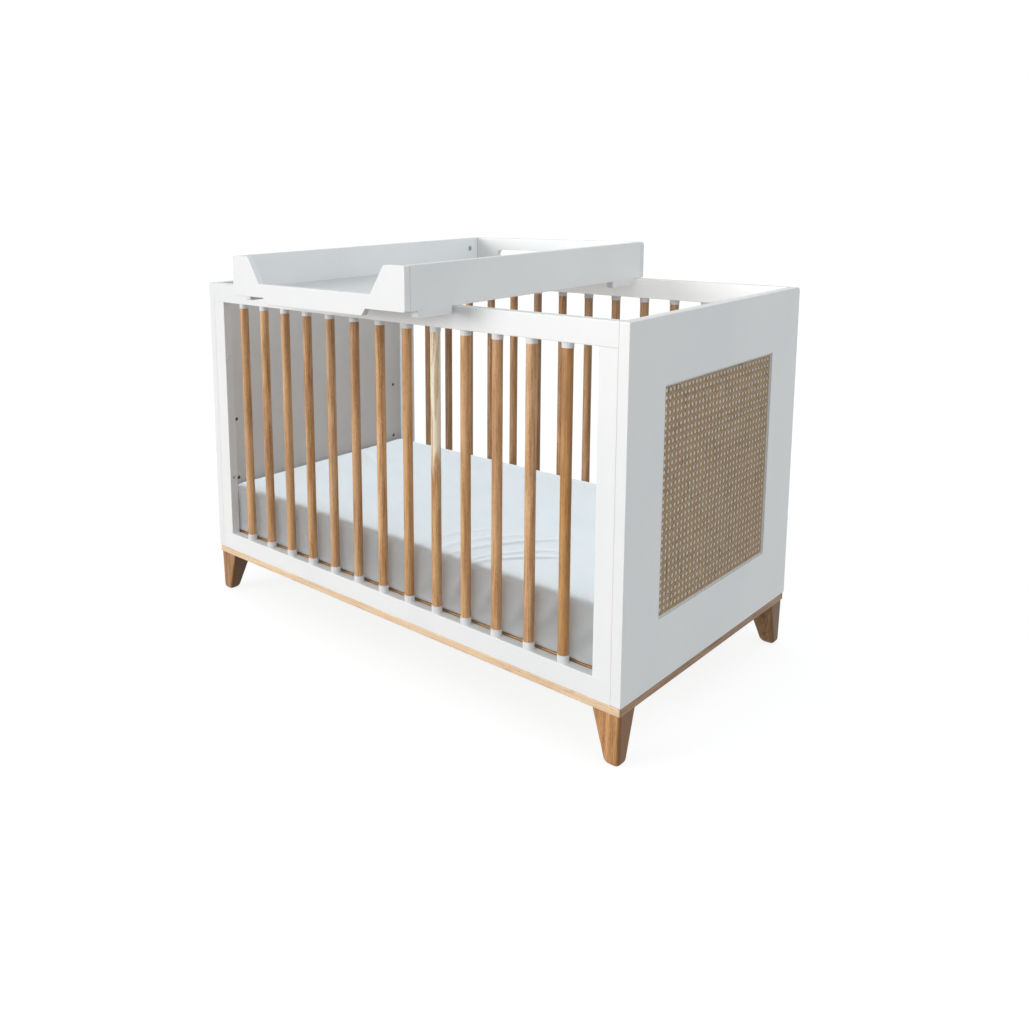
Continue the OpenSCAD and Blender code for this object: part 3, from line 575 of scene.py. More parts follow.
OAK_PALE = (0.78, 0.495, 0.285)
OAK_DARK = (0.41, 0.205, 0.09)
SPINDLE_FIGURE, FIGURE_SPREAD, FIGURE_STEP = 95.0, 20.0, 5.1
SPINDLE_CONTRAST, CONTRAST_SPREAD, CONTRAST_STEP = 1.10, 0.25, 3.7
BACK_SHIFT = 0.5
# The back row's tones are about a quarter lower than the front's: painted shade for the inside of the crib.
SPINDLE_TONE_AND_SHADE = {
    "front": (0.98, 0.94, 0.96, 0.91, 0.93, 0.91, 1.00, 0.96, 0.87, 0.96, 0.92, 1.09, 0.69),
    "back": (0.71, 0.66, 0.74, 0.69, 0.72, 0.66, 0.71, 0.66, 0.69, 0.72, 0.64, 0.69, 0.71),
}
SPINDLE_WARMTH = {
    "front": (0.13, 0.13, 0.12, 0.15, 0.06, 0.09, 0.13, 0.17, 0.13, 0.13, 0.12, 0.04, 0.36),
    "back": (0.09, 0.05, 0.11, 0.07, 0.10, 0.05, 0.09, 0.07, 0.10, 0.05, 0.11, 0.07, 0.09),
}
SPINDLE_KNOTS = {"front": (2, 6, 8, 11), "back": (4, 9, 12)}
SPINDLES_WITH_SAPWOOD = {"front": (9,), "back": ()}

for where, tones in SPINDLE_TONE_AND_SHADE.items():
    for number, tone in enumerate(tones, 1):
        warmth = SPINDLE_WARMTH[where][number - 1]
        cast = (tone * (1 + warmth / 2), tone, tone * (1 - warmth))
        rod = wood(
            f"{where}_spindle_oak_{number}",
            cast_over(OAK_PALE, cast),
            cast_over(OAK_DARK, cast),
            figure=SPINDLE_FIGURE + FIGURE_SPREAD * math.sin(FIGURE_STEP * number),
            shift=number + (BACK_SHIFT if where == "back" else 0.0),
            Contrast=SPINDLE_CONTRAST + CONTRAST_SPREAD * math.sin(CONTRAST_STEP * number),
            Knots=1.0 if number in SPINDLE_KNOTS[where] else 0.0,
            Sapwood=1.0 if number in SPINDLES_WITH_SAPWOOD[where] else 0.0,
        )
        coat_with(rod, f"{where}_spindle_{number}")


# ---------------------------------------------------------------------------
# Ferrules
# Moulded white plastic cups at both ends of every spindle. Each groove of the
# cup has a finer one beside it, and the surface is matt from the mould.

FERRULE_RIBS = 34
FERRULE_MILK = (0.93, 0.935, 0.94, 1)
FERRULE_HAZE = (0.89, 0.895, 0.90, 1)
# The grooves of the ribs are coloured darker: painted shade.
FERRULE_PAINTED_GROOVE_SHADE = (0.77, 0.775, 0.78, 1)
first_low, first_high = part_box("front_spindle_1")
second_low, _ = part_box("front_spindle_2")
back_low, back_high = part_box("back_spindle_1")
row_x = (first_low.x + first_high.x) / 2
row_pitch = second_low.x - first_low.x
front_y = (first_low.y + first_high.y) / 2
back_y = (back_low.y + back_high.y) / 2

plastic, tree, shader, place = new_finish("ferrule_plastic")
along, across, _ = put(tree, "ShaderNodeSeparateXYZ", _0=place).outputs
spindles_on = maths(tree, "DIVIDE", maths(tree, "SUBTRACT", along, row_x), row_pitch)
past_spindle = maths(tree, "SUBTRACT", spindles_on, maths(tree, "ROUND", spindles_on))
off_x = maths(tree, "MULTIPLY", past_spindle, row_pitch)
at_back = maths(tree, "GREATER_THAN", across, (front_y + back_y) / 2)
row_y = maths(tree, "MULTIPLY", at_back, back_y - front_y)
off_y = maths(tree, "SUBTRACT", maths(tree, "SUBTRACT", across, front_y), row_y)
round_it = maths(tree, "MULTIPLY", maths(tree, "ARCTAN2", off_y, off_x), float(FERRULE_RIBS))
ribs = ramp(tree, maths(tree, "COSINE", round_it), -0.9, 0.7)
grit = noise(tree, place, 1500.0, 2.0)
haze = noise(tree, place, 26.0, 2.0)
milk = blend_colours(tree, ramp(tree, haze, 0.35, 0.7), FERRULE_MILK, FERRULE_HAZE)
# Painted shade in the grooves of the ribs.
milk = blend_colours(tree, ribs, FERRULE_PAINTED_GROOVE_SHADE, milk)
ridged = maths(tree, "MULTIPLY_ADD", grit, 0.12, ribs)
wire(tree, shader, milk, ramp(tree, grit, 0.3, 0.7, 0.42, 0.52), ridged, depth=0.00025)
coat_with(plastic, "ferrules")


# ---------------------------------------------------------------------------
# Bolts, inserts and pins
# Bright zinc-plated steel: cap bolts through the stiles, threaded inserts in
# the panels, the pins under the base and the studs that hold the feet.

DULLED = 0.72
GLOSS_SPREAD = 0.16


def plated(name, colour, gloss):
    """Zinc plating with the fine turning marks of a machined part."""
    material, tree, shader, place = new_finish(name)
    marks = noise(tree, place, 420.0, 3.0, (1, 8, 8))
    cloud = noise(tree, place, 160.0, 2.0)
    dull = cast_over(colour[:3], (DULLED, DULLED, DULLED))
    tint = blend_colours(tree, ramp(tree, cloud, 0.35, 0.7), colour, dull)
    rough = ramp(tree, marks, 0.3, 0.7, gloss, gloss + GLOSS_SPREAD)
    wire(tree, shader, tint, rough, marks, depth=0.00004)
    shader.inputs["Metallic"].default_value = 1.0
    return material


coat_with(plated("bolt_zinc", (0.82, 0.83, 0.86, 1), 0.29), "frame_bolts", "base_pins")
coat_with(plated("insert_zinc", (0.34, 0.33, 0.31, 1), 0.34), "threaded_inserts", "foot_studs")


# ---------------------------------------------------------------------------
# Plinth and feet
# Four oak boards with rounded faces, mitred at the corners, the end ones
# painted much darker as painted shade, and four tapered feet of a warmer wood
# screwed up under them, with painted shade on their faces towards the ends.
# The feet shown here take the place of the plain ones, and are well rounded.

PLINTH_FIGURE = 85.0
SIDE_PALE = (0.95, 0.72, 0.49, 1)
SIDE_DARK = (0.74, 0.50, 0.305, 1)
# The end boards' colours are far darker than the sides': painted shade.
END_PAINTED_SHADE_PALE = (0.46, 0.275, 0.155, 1)
END_PAINTED_SHADE_DARK = (0.23, 0.12, 0.063, 1)
side_oak = wood("plinth_side_oak", SIDE_PALE, SIDE_DARK, LENGTHWAYS, PLINTH_FIGURE, 3.1, Contrast=0.9)
ends_painted_shade_oak = wood("plinth_end_oak", END_PAINTED_SHADE_PALE, END_PAINTED_SHADE_DARK, CROSSWAYS, PLINTH_FIGURE, 5.7, Contrast=1.2)
coat_with(side_oak, "plinth_sides")
coat_with(ends_painted_shade_oak, "plinth_ends")

FOOT_FIGURE = 75.0
FOOT_SHIFT, FIRST_SHIFT = 7.3, 2.0
FOOT_PALE = (0.64, 0.34, 0.148)
FOOT_GRAIN_AND_SIDE_SHADE = (0.20, 0.085, 0.025)
FOOT_TONES = {
    "front_left": (0.84, 0.00),
    "front_right": (1.10, 0.06),
    "back_left": (0.94, 0.00),
    "back_right": (0.90, -0.10),
}
FOOT_TOE_WIDTH = 0.0335
FOOT_TOE_ROUND = 0.0115
FOOT_CORNER_LOW = 0.0115
FOOT_CORNER_HIGH = 0.0078
FOOT_CORNER_LEAST = 0.0004
FOOT_LEAN = 0.001
FOOT_TOP_EDGE = 0.001
FOOT_STEPS = 8


def object_from(made, name):
    """An object with the mesh that was made."""
    data = bpy.data.meshes.new(name)
    made.to_mesh(data)
    made.free()
    return new_object(name, data)


def tapered_foot(name, low, high, away_x, away_y):
    """A foot that tapers on its two inner faces, with every upright edge and its toe well rounded."""
    made = bmesh.new()
    tall, wide = high.z - low.z, high.x - low.x
    turns = [step * math.pi / 2 / FOOT_STEPS for step in range(FOOT_STEPS + 1)]
    toe = [(1 - math.sin(turn), 1 - math.cos(turn)) for turn in turns]
    levels = [(FOOT_TOE_ROUND * inset, FOOT_TOE_ROUND * rise) for inset, rise in toe]
    levels += [(0, tall - FOOT_TOP_EDGE), (FOOT_TOP_EDGE, tall)]
    loops = []
    for inset, rise in levels:
        share = rise / tall
        size = FOOT_TOE_WIDTH + (wide - FOOT_TOE_WIDTH) * share - 2 * inset
        corner_round = FOOT_CORNER_LOW + (FOOT_CORNER_HIGH - FOOT_CORNER_LOW) * share
        radius = max(corner_round - inset, FOOT_CORNER_LEAST)
        lean = FOOT_LEAN * (1 - share) + inset
        mid_x = (high.x if away_x > 0 else low.x) - away_x * (lean + size / 2)
        mid_y = (high.y if away_y > 0 else low.y) - away_y * (lean + size / 2)
        reach = size / 2 - radius
        loop = []
        for corner, (right, back) in enumerate(((1, 1), (-1, 1), (-1, -1), (1, -1))):
            for turn in turns:
                way = corner * math.pi / 2 + turn
                x = mid_x + right * reach + radius * math.cos(way)
                y = mid_y + back * reach + radius * math.sin(way)
                loop.append(made.verts.new((x, y, low.z + rise)))
        loops.append(loop)
    for this, after in zip(loops, loops[1:]):
        for i in range(len(this)):
            face = made.faces.new((this[i - 1], this[i], after[i], after[i - 1]))
            face.smooth = i % (FOOT_STEPS + 1) != 0
    made.faces.new(reversed(loops[0]))
    made.faces.new(loops[-1])
    return object_from(made, name)


for number, (corner, (tone, warmth)) in enumerate(FOOT_TONES.items()):
    cast = (tone * (1 + warmth / 2), tone, tone * (1 - warmth))
    pale, dark = cast_over(FOOT_PALE, cast), cast_over(FOOT_GRAIN_AND_SIDE_SHADE, cast)
    shift = FOOT_SHIFT * number + FIRST_SHIFT
    # The feet's faces towards the crib's ends are blended to their dark colour: painted shade.
    block = wood(f"foot_wood_{corner}", pale, dark, UPRIGHT, FOOT_FIGURE, shift, Dark_sides=1.0)
    low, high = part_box("foot_" + corner)
    away_x = 1 if corner.endswith("right") else -1
    away_y = 1 if corner.startswith("back") else -1
    foot = tapered_foot(f"foot_{corner}_rounded", low, high, away_x, away_y)
    foot.data.materials.append(block)
    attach(foot, "crib")
    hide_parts("foot_" + corner)


# ---------------------------------------------------------------------------
# Mattress base
# Two side rails and two end rails with a row of slats, plain orange-brown
# wood that shows only as a thin line above the bottom rail, and from below.

BASE_FIGURE = 70.0
BASE_PALE = (0.66, 0.40, 0.19, 1)
BASE_DARK = (0.44, 0.22, 0.085, 1)
SLAT_PALE = (0.72, 0.50, 0.28, 1)
SLAT_DARK = (0.55, 0.34, 0.17, 1)
coat_with(wood("base_rail_wood", BASE_PALE, BASE_DARK, LENGTHWAYS, BASE_FIGURE, 11.0), "base_side_rails")
coat_with(wood("base_end_wood", BASE_PALE, BASE_DARK, CROSSWAYS, BASE_FIGURE, 13.0), "base_end_rails")
coat_with(wood("slat_wood", SLAT_PALE, SLAT_DARK, CROSSWAYS, shift=17.0), "base_slats")


# ---------------------------------------------------------------------------
# Mattress
# A foam block in a quilted ticking, a little crowned on top and flat where it
# lies on the slats. It swells against its cover, so it is made under size.

PAD_UNDER = 0.0045
PAD_VOXEL = 0.009
PAD_ROUND = 0.024
PAD_EDGE = 0.012
PAD_FOOT = 0.006
PAD_PRESSURE = 4.0
PAD_FRAMES = 20
PAD_SWELL = 0.004
PAD_FLAT = 0.004
PAD_RIM = 0.025
PAD_SIDE_GAP = 0.0025
PAD_FOOT_GAP = 0.0015
PAD_CROWN = 0.0065
PAD_SEAM = 0.020
PAD_SEAM_PULL = 2.4
TICKING = (0.80, 0.79, 0.76, 1)
TICKING_SHADE = (0.74, 0.73, 0.70, 1)
TICKING_STITCH = 160.0


def rounded_block(name, low, high, round_upright, round_top, round_foot):
    """A closed block with rounded upright corners and rounded top and bottom edges."""
    mesh = bmesh.new()
    bmesh.ops.create_cube(mesh, size=1.0)
    for v in mesh.verts:
        v.co = Vector((v.co[i] * (high[i] - low[i]) + (high[i] + low[i]) / 2 for i in range(3)))
    upright = [e for e in mesh.edges if abs(e.verts[0].co.z - e.verts[1].co.z) > 1e-4]
    bmesh.ops.bevel(mesh, geom=upright, offset=round_upright, segments=5, profile=0.5, affect="EDGES")
    for way, round_edge in ((1, round_top), (-1, round_foot)):
        rim = list({e for f in mesh.faces if f.normal.z * way > 0.9 for e in f.edges})
        bmesh.ops.bevel(mesh, geom=rim, offset=round_edge, segments=4, profile=0.5, affect="EDGES")
    return object_from(mesh, name)


def apply_modifiers(obj):
    """Keeps what the modifiers make as the object's own mesh."""
    done = worked_out(obj)
    obj.modifiers.clear()
    obj.data = done


def points_of(obj, what="co"):
    """The places of the object's vertices as an array, or their normals."""
    found = np.zeros(len(obj.data.vertices) * 3)
    obj.data.vertices.foreach_get(what, found)
    return found.reshape(-1, 3)


def put_points(obj, places):
    """Moves the object's vertices to these places."""
    obj.data.vertices.foreach_set("co", places.ravel())
    obj.data.update()


def swell(obj, pinned, pressure, frames, most):
    """Blows the closed mesh up as cloth, keeps pinned points still, and caps how far any point goes."""
    before = points_of(obj)
    held = obj.vertex_groups.new(name="held")
    held.add([int(i) for i in np.nonzero(pinned)[0]], 1.0, "REPLACE")
    cloth = obj.modifiers.new("cloth", "CLOTH")
    cloth.settings.use_pressure = True
    cloth.settings.uniform_pressure_force = pressure
    cloth.settings.vertex_group_mass = held.name
    cloth.settings.effector_weights.gravity = 0.0
    cloth.settings.tension_stiffness = 12.0
    cloth.settings.compression_stiffness = 12.0
    cloth.settings.bending_stiffness = 0.6
    cloth.point_cache.frame_start = 1
    cloth.point_cache.frame_end = frames
    scene = bpy.context.scene
    for number in range(1, frames + 1):
        scene.frame_set(number)
    apply_modifiers(obj)
    scene.frame_set(1)
    obj.vertex_groups.clear()
    moved = points_of(obj) - before
    reach = np.linalg.norm(moved, axis=1, keepdims=True)
    put_points(obj, before + moved * np.minimum(1.0, most / np.maximum(reach, 1e-9)))


low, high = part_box("mattress")
pad = rounded_block(
    "mattress_pad",
    low + Vector((PAD_UNDER, PAD_UNDER, PAD_FOOT_GAP)),
    high - Vector((PAD_UNDER, PAD_UNDER, PAD_UNDER)),
    PAD_ROUND,
    PAD_EDGE,
    PAD_FOOT,
)
remesh = pad.modifiers.new("remesh", "REMESH")
remesh.mode = "VOXEL"
remesh.voxel_size = PAD_VOXEL
apply_modifiers(pad)
start = points_of(pad)
in_from_rim = np.minimum(
    np.minimum(start[:, 0] - low.x, high.x - start[:, 0]),
    np.minimum(start[:, 1] - low.y, high.y - start[:, 1]),
)
lying = (start[:, 2] < low.z + PAD_FLAT) & (in_from_rim > PAD_RIM)
swell(pad, lying, PAD_PRESSURE, PAD_FRAMES, PAD_SWELL)
finer = pad.modifiers.new("finer", "SUBSURF")
finer.levels = finer.render_levels = 1
apply_modifiers(pad)
swollen = points_of(pad)
swollen_low, swollen_high = swollen.min(axis=0), swollen.max(axis=0)
room_low = np.array(low) + (PAD_SIDE_GAP, PAD_SIDE_GAP, PAD_FOOT_GAP)
room_high = np.array(high) - PAD_SIDE_GAP + (0, 0, PAD_CROWN)
filled = room_low + (swollen - swollen_low) * (room_high - room_low) / (swollen_high - swollen_low)

# The seam of the cover draws the lower edge tight all round.
pad_middle = (room_low + room_high) / 2
from_middle = filled[:, :2] - pad_middle[:2]
overhang = np.maximum(np.abs(from_middle) - ((room_high - room_low)[:2] / 2 - PAD_ROUND), 0)
outward = np.maximum(np.linalg.norm(overhang, axis=1), 1e-9)
inset = np.clip(PAD_ROUND - outward, 0, None)
rise = filled[:, 2] - room_low[2]
at_seam = (inset < PAD_SEAM) & (rise < PAD_SEAM)
drawn = PAD_ROUND - PAD_SEAM * (inset / PAD_SEAM) ** PAD_SEAM_PULL
stretch = np.where(at_seam, drawn / outward - 1, 0)[:, None]
filled[:, :2] += np.sign(from_middle) * overhang * stretch
drawn_rise = PAD_SEAM * (rise / PAD_SEAM) ** PAD_SEAM_PULL
filled[:, 2] = room_low[2] + np.where(at_seam, drawn_rise, rise)
put_points(pad, filled)
pad.data.shade_smooth()

CLOTH, yarn = new_group(
    "knitted_cloth", Place=ORIGIN, Threads=ORIGIN, Colour=TICKING, Shade=TICKING_SHADE, Stitch=TICKING_STITCH
)
waves = []
for way in ("X", "Y"):
    kind = {"wave_type": "BANDS", "bands_direction": way}
    wave = put(CLOTH, "ShaderNodeTexWave", kind, Vector=yarn["Threads"], Scale=yarn["Stitch"])
    waves.append(wave.outputs["Fac"])
stitches = maths(CLOTH, "ADD", *waves)
fluff = noise(CLOTH, yarn["Place"], 700.0, 3.0)
wash = noise(CLOTH, yarn["Place"], 7.0, 3.0)
worn = blend_colours(CLOTH, ramp(CLOTH, wash, 0.35, 0.7), yarn["Colour"], yarn["Shade"])
thread = ramp(CLOTH, maths(CLOTH, "ADD", stitches, fluff), 0.8, 1.9, 0.90, 1.0)
grey = put(CLOTH, "ShaderNodeCombineColor", Red=thread, Green=thread, Blue=thread).outputs[0]
worn = blend_colours(CLOTH, 1.0, worn, grey, "MULTIPLY")
rough = ramp(CLOTH, fluff, 0.3, 0.7, 0.82, 0.95)
close_group(CLOTH, worn, rough, maths(CLOTH, "MULTIPLY_ADD", fluff, 0.5, stitches))


def cloth_finish(name, colour, shade, stitch, depth, sheen, laid_by=None):
    """A cloth with a faint bloom on it, its threads laid by an attribute if one is named."""
    material, tree, shader, place = new_finish(name)
    threads = place
    if laid_by:
        flat = put(tree, "ShaderNodeAttribute", {"attribute_type": "GEOMETRY", "attribute_name": laid_by})
        threads = flat.outputs["Vector"]
    values = {"Place": place, "Threads": threads, "Colour": colour, "Shade": shade, "Stitch": stitch}
    knit = put(tree, "ShaderNodeGroup", {"node_tree": CLOTH}, **values)
    wire(tree, shader, *knit.outputs[:3], depth)
    shader.inputs["Sheen Weight"].default_value = sheen
    shader.inputs["Sheen Roughness"].default_value = 0.5
    shader.inputs["Specular IOR Level"].default_value = 0.2
    return material


def finish_with(obj, material):
    """Gives a soft piece its one material."""
    obj.data.materials.clear()
    obj.data.materials.append(material)


finish_with(pad, cloth_finish("mattress_ticking", TICKING, TICKING_SHADE, TICKING_STITCH, 0.0003, 0.1))
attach(pad, "base")
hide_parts("mattress")


# ---------------------------------------------------------------------------
# Fitted sheet
# Pale blue-white cotton jersey pulled over the mattress, tight on top, with
# soft pull lines at the corners, and gathered underneath on an elastic.

SHEET_LIFT = 0.0012
SHEET_RIM = 0.007
SHEET_TUCK = 0.065
OPEN_BELOW = 0.012
HEM_THICK = 0.0022
HEM_LIFT = 0.0012
HEM_RUCK, HEM_RUCKS = 0.004, 97
HEM_WAVE, HEM_WAVES = 0.0004, 131
HEM_SQUARE = 9
HEM_POINTS = 720
FOLD_FADE = 0.6
JERSEY = (0.88, 0.90, 0.91, 1)
JERSEY_SHADE = (0.85, 0.875, 0.89, 1)
JERSEY_STITCH = 330.0


def crease(flat, first, last, bow, width, height):
    """How high one soft fold stands at each point: a bowed line that fades out at both ends."""
    first, last = np.array(first), np.array(last)
    run = last - first
    length = np.linalg.norm(run)
    along = run / length
    side = np.array((-along[1], along[0]))
    t = (flat - first) @ along / length
    off = (flat - first) @ side - bow * 4 * t * (1 - t) * length
    fade = np.clip(np.sin(np.pi * np.clip(t, 0, 1)), 0, 1) ** FOLD_FADE
    return height * fade * np.exp(-((off / width) ** 2))


sheet_mesh = bmesh.new()
sheet_mesh.from_mesh(pad.data)
middle = (low + high) / 2
half = (high - low) / 2
opening = []
for face in sheet_mesh.faces:
    at = face.calc_center_median()
    under = at.z < low.z + OPEN_BELOW and face.normal.z < -0.7
    if under and all(abs(at[i] - middle[i]) < half[i] - SHEET_TUCK for i in (0, 1)):
        opening.append(face)
bmesh.ops.delete(sheet_mesh, geom=opening, context="FACES")

# The cloth is meshed finer where it is pulled into sharp creases.
CREASED_LOW = Vector((0.07, -0.30, low.z + 0.100))
CREASED_HIGH = Vector((0.41, -0.01, high.z + 0.010))
creased = set()
for face in sheet_mesh.faces:
    at = face.calc_center_median()
    if all(CREASED_LOW[i] < at[i] < CREASED_HIGH[i] for i in range(3)):
        creased.update(face.edges)
bmesh.ops.subdivide_edges(sheet_mesh, edges=list(creased), cuts=1, use_grid_fill=True)
sheet = object_from(sheet_mesh, "fitted_sheet")
places = points_of(sheet)
normals = points_of(sheet, "normal")
lift = np.full(len(places), SHEET_LIFT)
top = np.clip((normals[:, 2] - 0.5) / 0.5, 0, 1)

# On top: from and to (x, y), bow, half width and height of each crease.
TOP_CREASES = (
    ((0.088, -0.275), (0.170, -0.060), 0.10, 0.0085, 0.0015),
    ((0.135, -0.270), (0.250, -0.040), 0.08, 0.0075, 0.0021),
    ((0.172, -0.270), (0.325, -0.010), 0.06, 0.0078, 0.0034),
    ((0.225, -0.272), (0.365, -0.070), 0.07, 0.0070, 0.0024),
    ((0.240, -0.272), (0.392, -0.100), 0.05, 0.0072, 0.0034),
    ((-0.585, 0.205), (-0.380, 0.080), 0.05, 0.0140, 0.0022),
    ((-0.540, -0.100), (-0.580, -0.010), 0.05, 0.0130, 0.0016),
    ((-0.070, -0.200), (-0.105, -0.110), 0.05, 0.0120, 0.0014),
    ((-0.470, 0.000), (-0.535, 0.125), 0.05, 0.0140, 0.0014),
)
for fold in TOP_CREASES:
    lift += top * crease(places[:, :2], *fold)

# On the front: the same, from and to (x, height above the mattress's foot).
FRONT_FOLDS = (
    ((-0.600, 0.140), (-0.505, 0.030), 0.04, 0.015, 0.0026),
    ((-0.520, 0.140), (-0.420, 0.020), 0.04, 0.015, 0.0034),
    ((-0.440, 0.135), (-0.330, 0.000), 0.04, 0.015, 0.0034),
    ((-0.355, 0.120), (-0.245, -0.010), 0.04, 0.015, 0.0030),
    ((-0.255, 0.105), (-0.160, -0.010), 0.04, 0.016, 0.0022),
    ((0.055, -0.020), (0.150, 0.105), -0.04, 0.014, 0.0028),
    ((0.140, -0.020), (0.245, 0.135), -0.05, 0.013, 0.0038),
    ((0.228, -0.010), (0.325, 0.135), -0.05, 0.012, 0.0038),
    ((0.305, -0.020), (0.410, 0.130), -0.05, 0.013, 0.0038),
    ((0.355, -0.005), (0.492, 0.145), -0.06, 0.013, 0.0038),
    ((0.398, -0.025), (0.590, 0.135), -0.07, 0.013, 0.0040),
    ((0.475, -0.025), (0.600, 0.080), -0.08, 0.012, 0.0040),
)
front = np.clip((-normals[:, 1] - 0.5) / 0.5, 0, 1)
on_front = np.column_stack((places[:, 0], places[:, 2] - low.z))
for fold in FRONT_FOLDS:
    lift = np.maximum(lift, SHEET_LIFT + front * crease(on_front, *fold))

# Where each point lay before the cloth was folded down the sides, which the knit follows.
from_centre = places[:, :2] - (middle.x, middle.y)
beyond = np.maximum(np.abs(from_centre) - (half.x - PAD_EDGE, half.y - PAD_EDGE), 0)
dropped = np.maximum(high.z + PAD_CROWN - SHEET_RIM - places[:, 2], 0)
end_side = beyond[:, 0] > beyond[:, 1]
laid_flat = np.zeros((len(places), 3))
laid_flat[:, :2] = from_centre
laid_flat[:, 0] += np.sign(from_centre[:, 0]) * np.where(end_side, dropped, 0)
laid_flat[:, 1] += np.sign(from_centre[:, 1]) * np.where(end_side, 0, dropped)
sheet.data.attributes.new("laid_flat", "FLOAT_VECTOR", "POINT").data.foreach_set("vector", laid_flat.ravel())

put_points(sheet, places + normals * lift[:, None])
sheet.data.shade_smooth()

JERSEY_CLOTH = (JERSEY, JERSEY_SHADE, JERSEY_STITCH, 0.00012, 0.15)
finish_with(sheet, cloth_finish("sheet_jersey", *JERSEY_CLOTH, laid_by="laid_flat"))

hem_line = bpy.data.curves.new("sheet_hem_line", "CURVE")
hem_line.dimensions = "3D"
ring = hem_line.splines.new("POLY")
ring.points.add(HEM_POINTS - 1)
hem_x = half.x - SHEET_TUCK
hem_y = half.y - SHEET_TUCK
for number, point in enumerate(ring.points):
    angle = math.tau * number / HEM_POINTS
    c, s = math.cos(angle), math.sin(angle)
    reach = 1.0 / (abs(c) ** HEM_SQUARE + abs(s) ** HEM_SQUARE) ** (1 / HEM_SQUARE)
    ruck = 1.0 + HEM_RUCK * math.sin(HEM_RUCKS * angle)
    point.co = (
        middle.x + hem_x * c * reach * ruck,
        middle.y + hem_y * s * reach * ruck,
        low.z + HEM_LIFT + HEM_WAVE * math.sin(HEM_WAVES * angle),
        1,
    )
ring.use_cyclic_u = True
hem_line.bevel_depth = HEM_THICK / 2
hem_line.bevel_resolution = 2
hem_curve = new_object("sheet_hem_line", hem_line)
hem = new_object("sheet_hem", worked_out(hem_curve))
bpy.data.objects.remove(hem_curve)
hem.data.shade_smooth()
finish_with(hem, cloth_finish("hem_jersey", *JERSEY_CLOTH))

for piece in (sheet, hem):
    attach(piece, "base")


# ---------------------------------------------------------------------------
# Changing tray
# Four shaped boards round a thin floor, lacquered like the crib, held by cam
# fittings and oak dowels. It lies loose on the top rails by its feet.

TRAY_WHITE = (0.905, 0.905, 0.905, 1)
TRAY_SHADE = (0.875, 0.875, 0.88, 1)
# The back board's white is set lower than the other boards': painted shade to hold its lamp-lit inner face
# down.
TRAY_BACK_PAINTED_SHADE_WHITE = (0.865, 0.865, 0.865, 1)
TRAY_BACK_PAINTED_SHADE_TONE = (0.835, 0.835, 0.84, 1)
TRAY_FLOOR_WHITE = (0.84, 0.85, 0.85, 1)
TRAY_FLOOR_SHADE = (0.81, 0.82, 0.82, 1)
CAM_ALLOY = (0.60, 0.60, 0.62, 1)
BEECH_PALE = (0.74, 0.55, 0.36, 1)
BEECH_DARK = (0.60, 0.40, 0.22, 1)
tray_lacquer = lacquer("tray_lacquer", TRAY_WHITE, TRAY_SHADE)
coat_with(tray_lacquer, "tray_front", "tray_left", "tray_right")
coat_with(lacquer("tray_back_lacquer", TRAY_BACK_PAINTED_SHADE_WHITE, TRAY_BACK_PAINTED_SHADE_TONE), "tray_back")
coat_with(lacquer("tray_floor_lacquer", TRAY_FLOOR_WHITE, TRAY_FLOOR_SHADE), "tray_floor")
coat_with(plated("cam_alloy", CAM_ALLOY, 0.32), "tray_cams")
coat_with(wood("dowel_beech", BEECH_PALE, BEECH_DARK, CROSSWAYS, figure=80.0), "tray_dowels")


# ---------------------------------------------------------------------------
# Studio
# A white floor that keeps a soft shadow, even light from all round, a broad
# lamp from the front, weak ones for what the tray and the frame leave in
# shade, each of them for some pieces only, and the camera.

FLOOR_REACH = 30
FLOOR_GREY = (0.30, 0.30, 0.30, 1)
FLOOR_GLOW = 0.835
WHITE_LIGHT = (1, 1, 1, 1)
AIR_LOW = (0.99, 0.99, 0.98, 1)
AIR_HIGH = (0.90, 0.965, 1.0, 1)


def seen_direct(tree):
    """1 for rays from the camera, a gloss or clear glass, and 0 for rays that only carry light."""
    path = put(tree, "ShaderNodeLightPath").outputs
    mirrored = maths(tree, "MAXIMUM", path["Is Glossy Ray"], path["Is Transmission Ray"])
    return maths(tree, "MAXIMUM", path["Is Camera Ray"], mirrored)


floor_mesh = bpy.data.meshes.new("studio_floor")
floor_corners = [(x * FLOOR_REACH, y * FLOOR_REACH, 0) for x, y in ((-1, -1), (1, -1), (1, 1), (-1, 1))]
floor_mesh.from_pydata(floor_corners, [], [(0, 1, 2, 3)])
floor = new_object("studio_floor", floor_mesh)
paper = bpy.data.materials.new("studio_paper")
paper.use_nodes = True
tree = paper.node_tree
tree.nodes.clear()
plain = put(tree, "ShaderNodeBsdfDiffuse", Color=FLOOR_GREY)
bright = put(tree, "ShaderNodeBsdfDiffuse", Color=FLOOR_GREY)
glow = put(tree, "ShaderNodeEmission", Color=WHITE_LIGHT, Strength=FLOOR_GLOW)
lit = put(tree, "ShaderNodeAddShader", _0=bright.outputs[0], _1=glow.outputs[0])
top_side = put(tree, "ShaderNodeMixShader", _0=seen_direct(tree), _1=plain.outputs[0], _2=lit.outputs[0])
clear = put(tree, "ShaderNodeBsdfTransparent")
under = put(tree, "ShaderNodeNewGeometry").outputs["Backfacing"]
both = put(tree, "ShaderNodeMixShader", _0=under, _1=top_side.outputs[0], _2=clear.outputs[0])
put(tree, "ShaderNodeOutputMaterial", Surface=both.outputs[0])
floor_mesh.materials.append(paper)
floor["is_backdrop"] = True

world = bpy.data.worlds.new("studio_air")
bpy.context.scene.world = world
world.use_nodes = True
tree = world.node_tree
tree.nodes.clear()
height = axis_of(tree, put(tree, "ShaderNodeTexCoord").outputs["Generated"], 2)
overhead = ramp(tree, height, -0.1, 1.0, 0.83, 0.56)
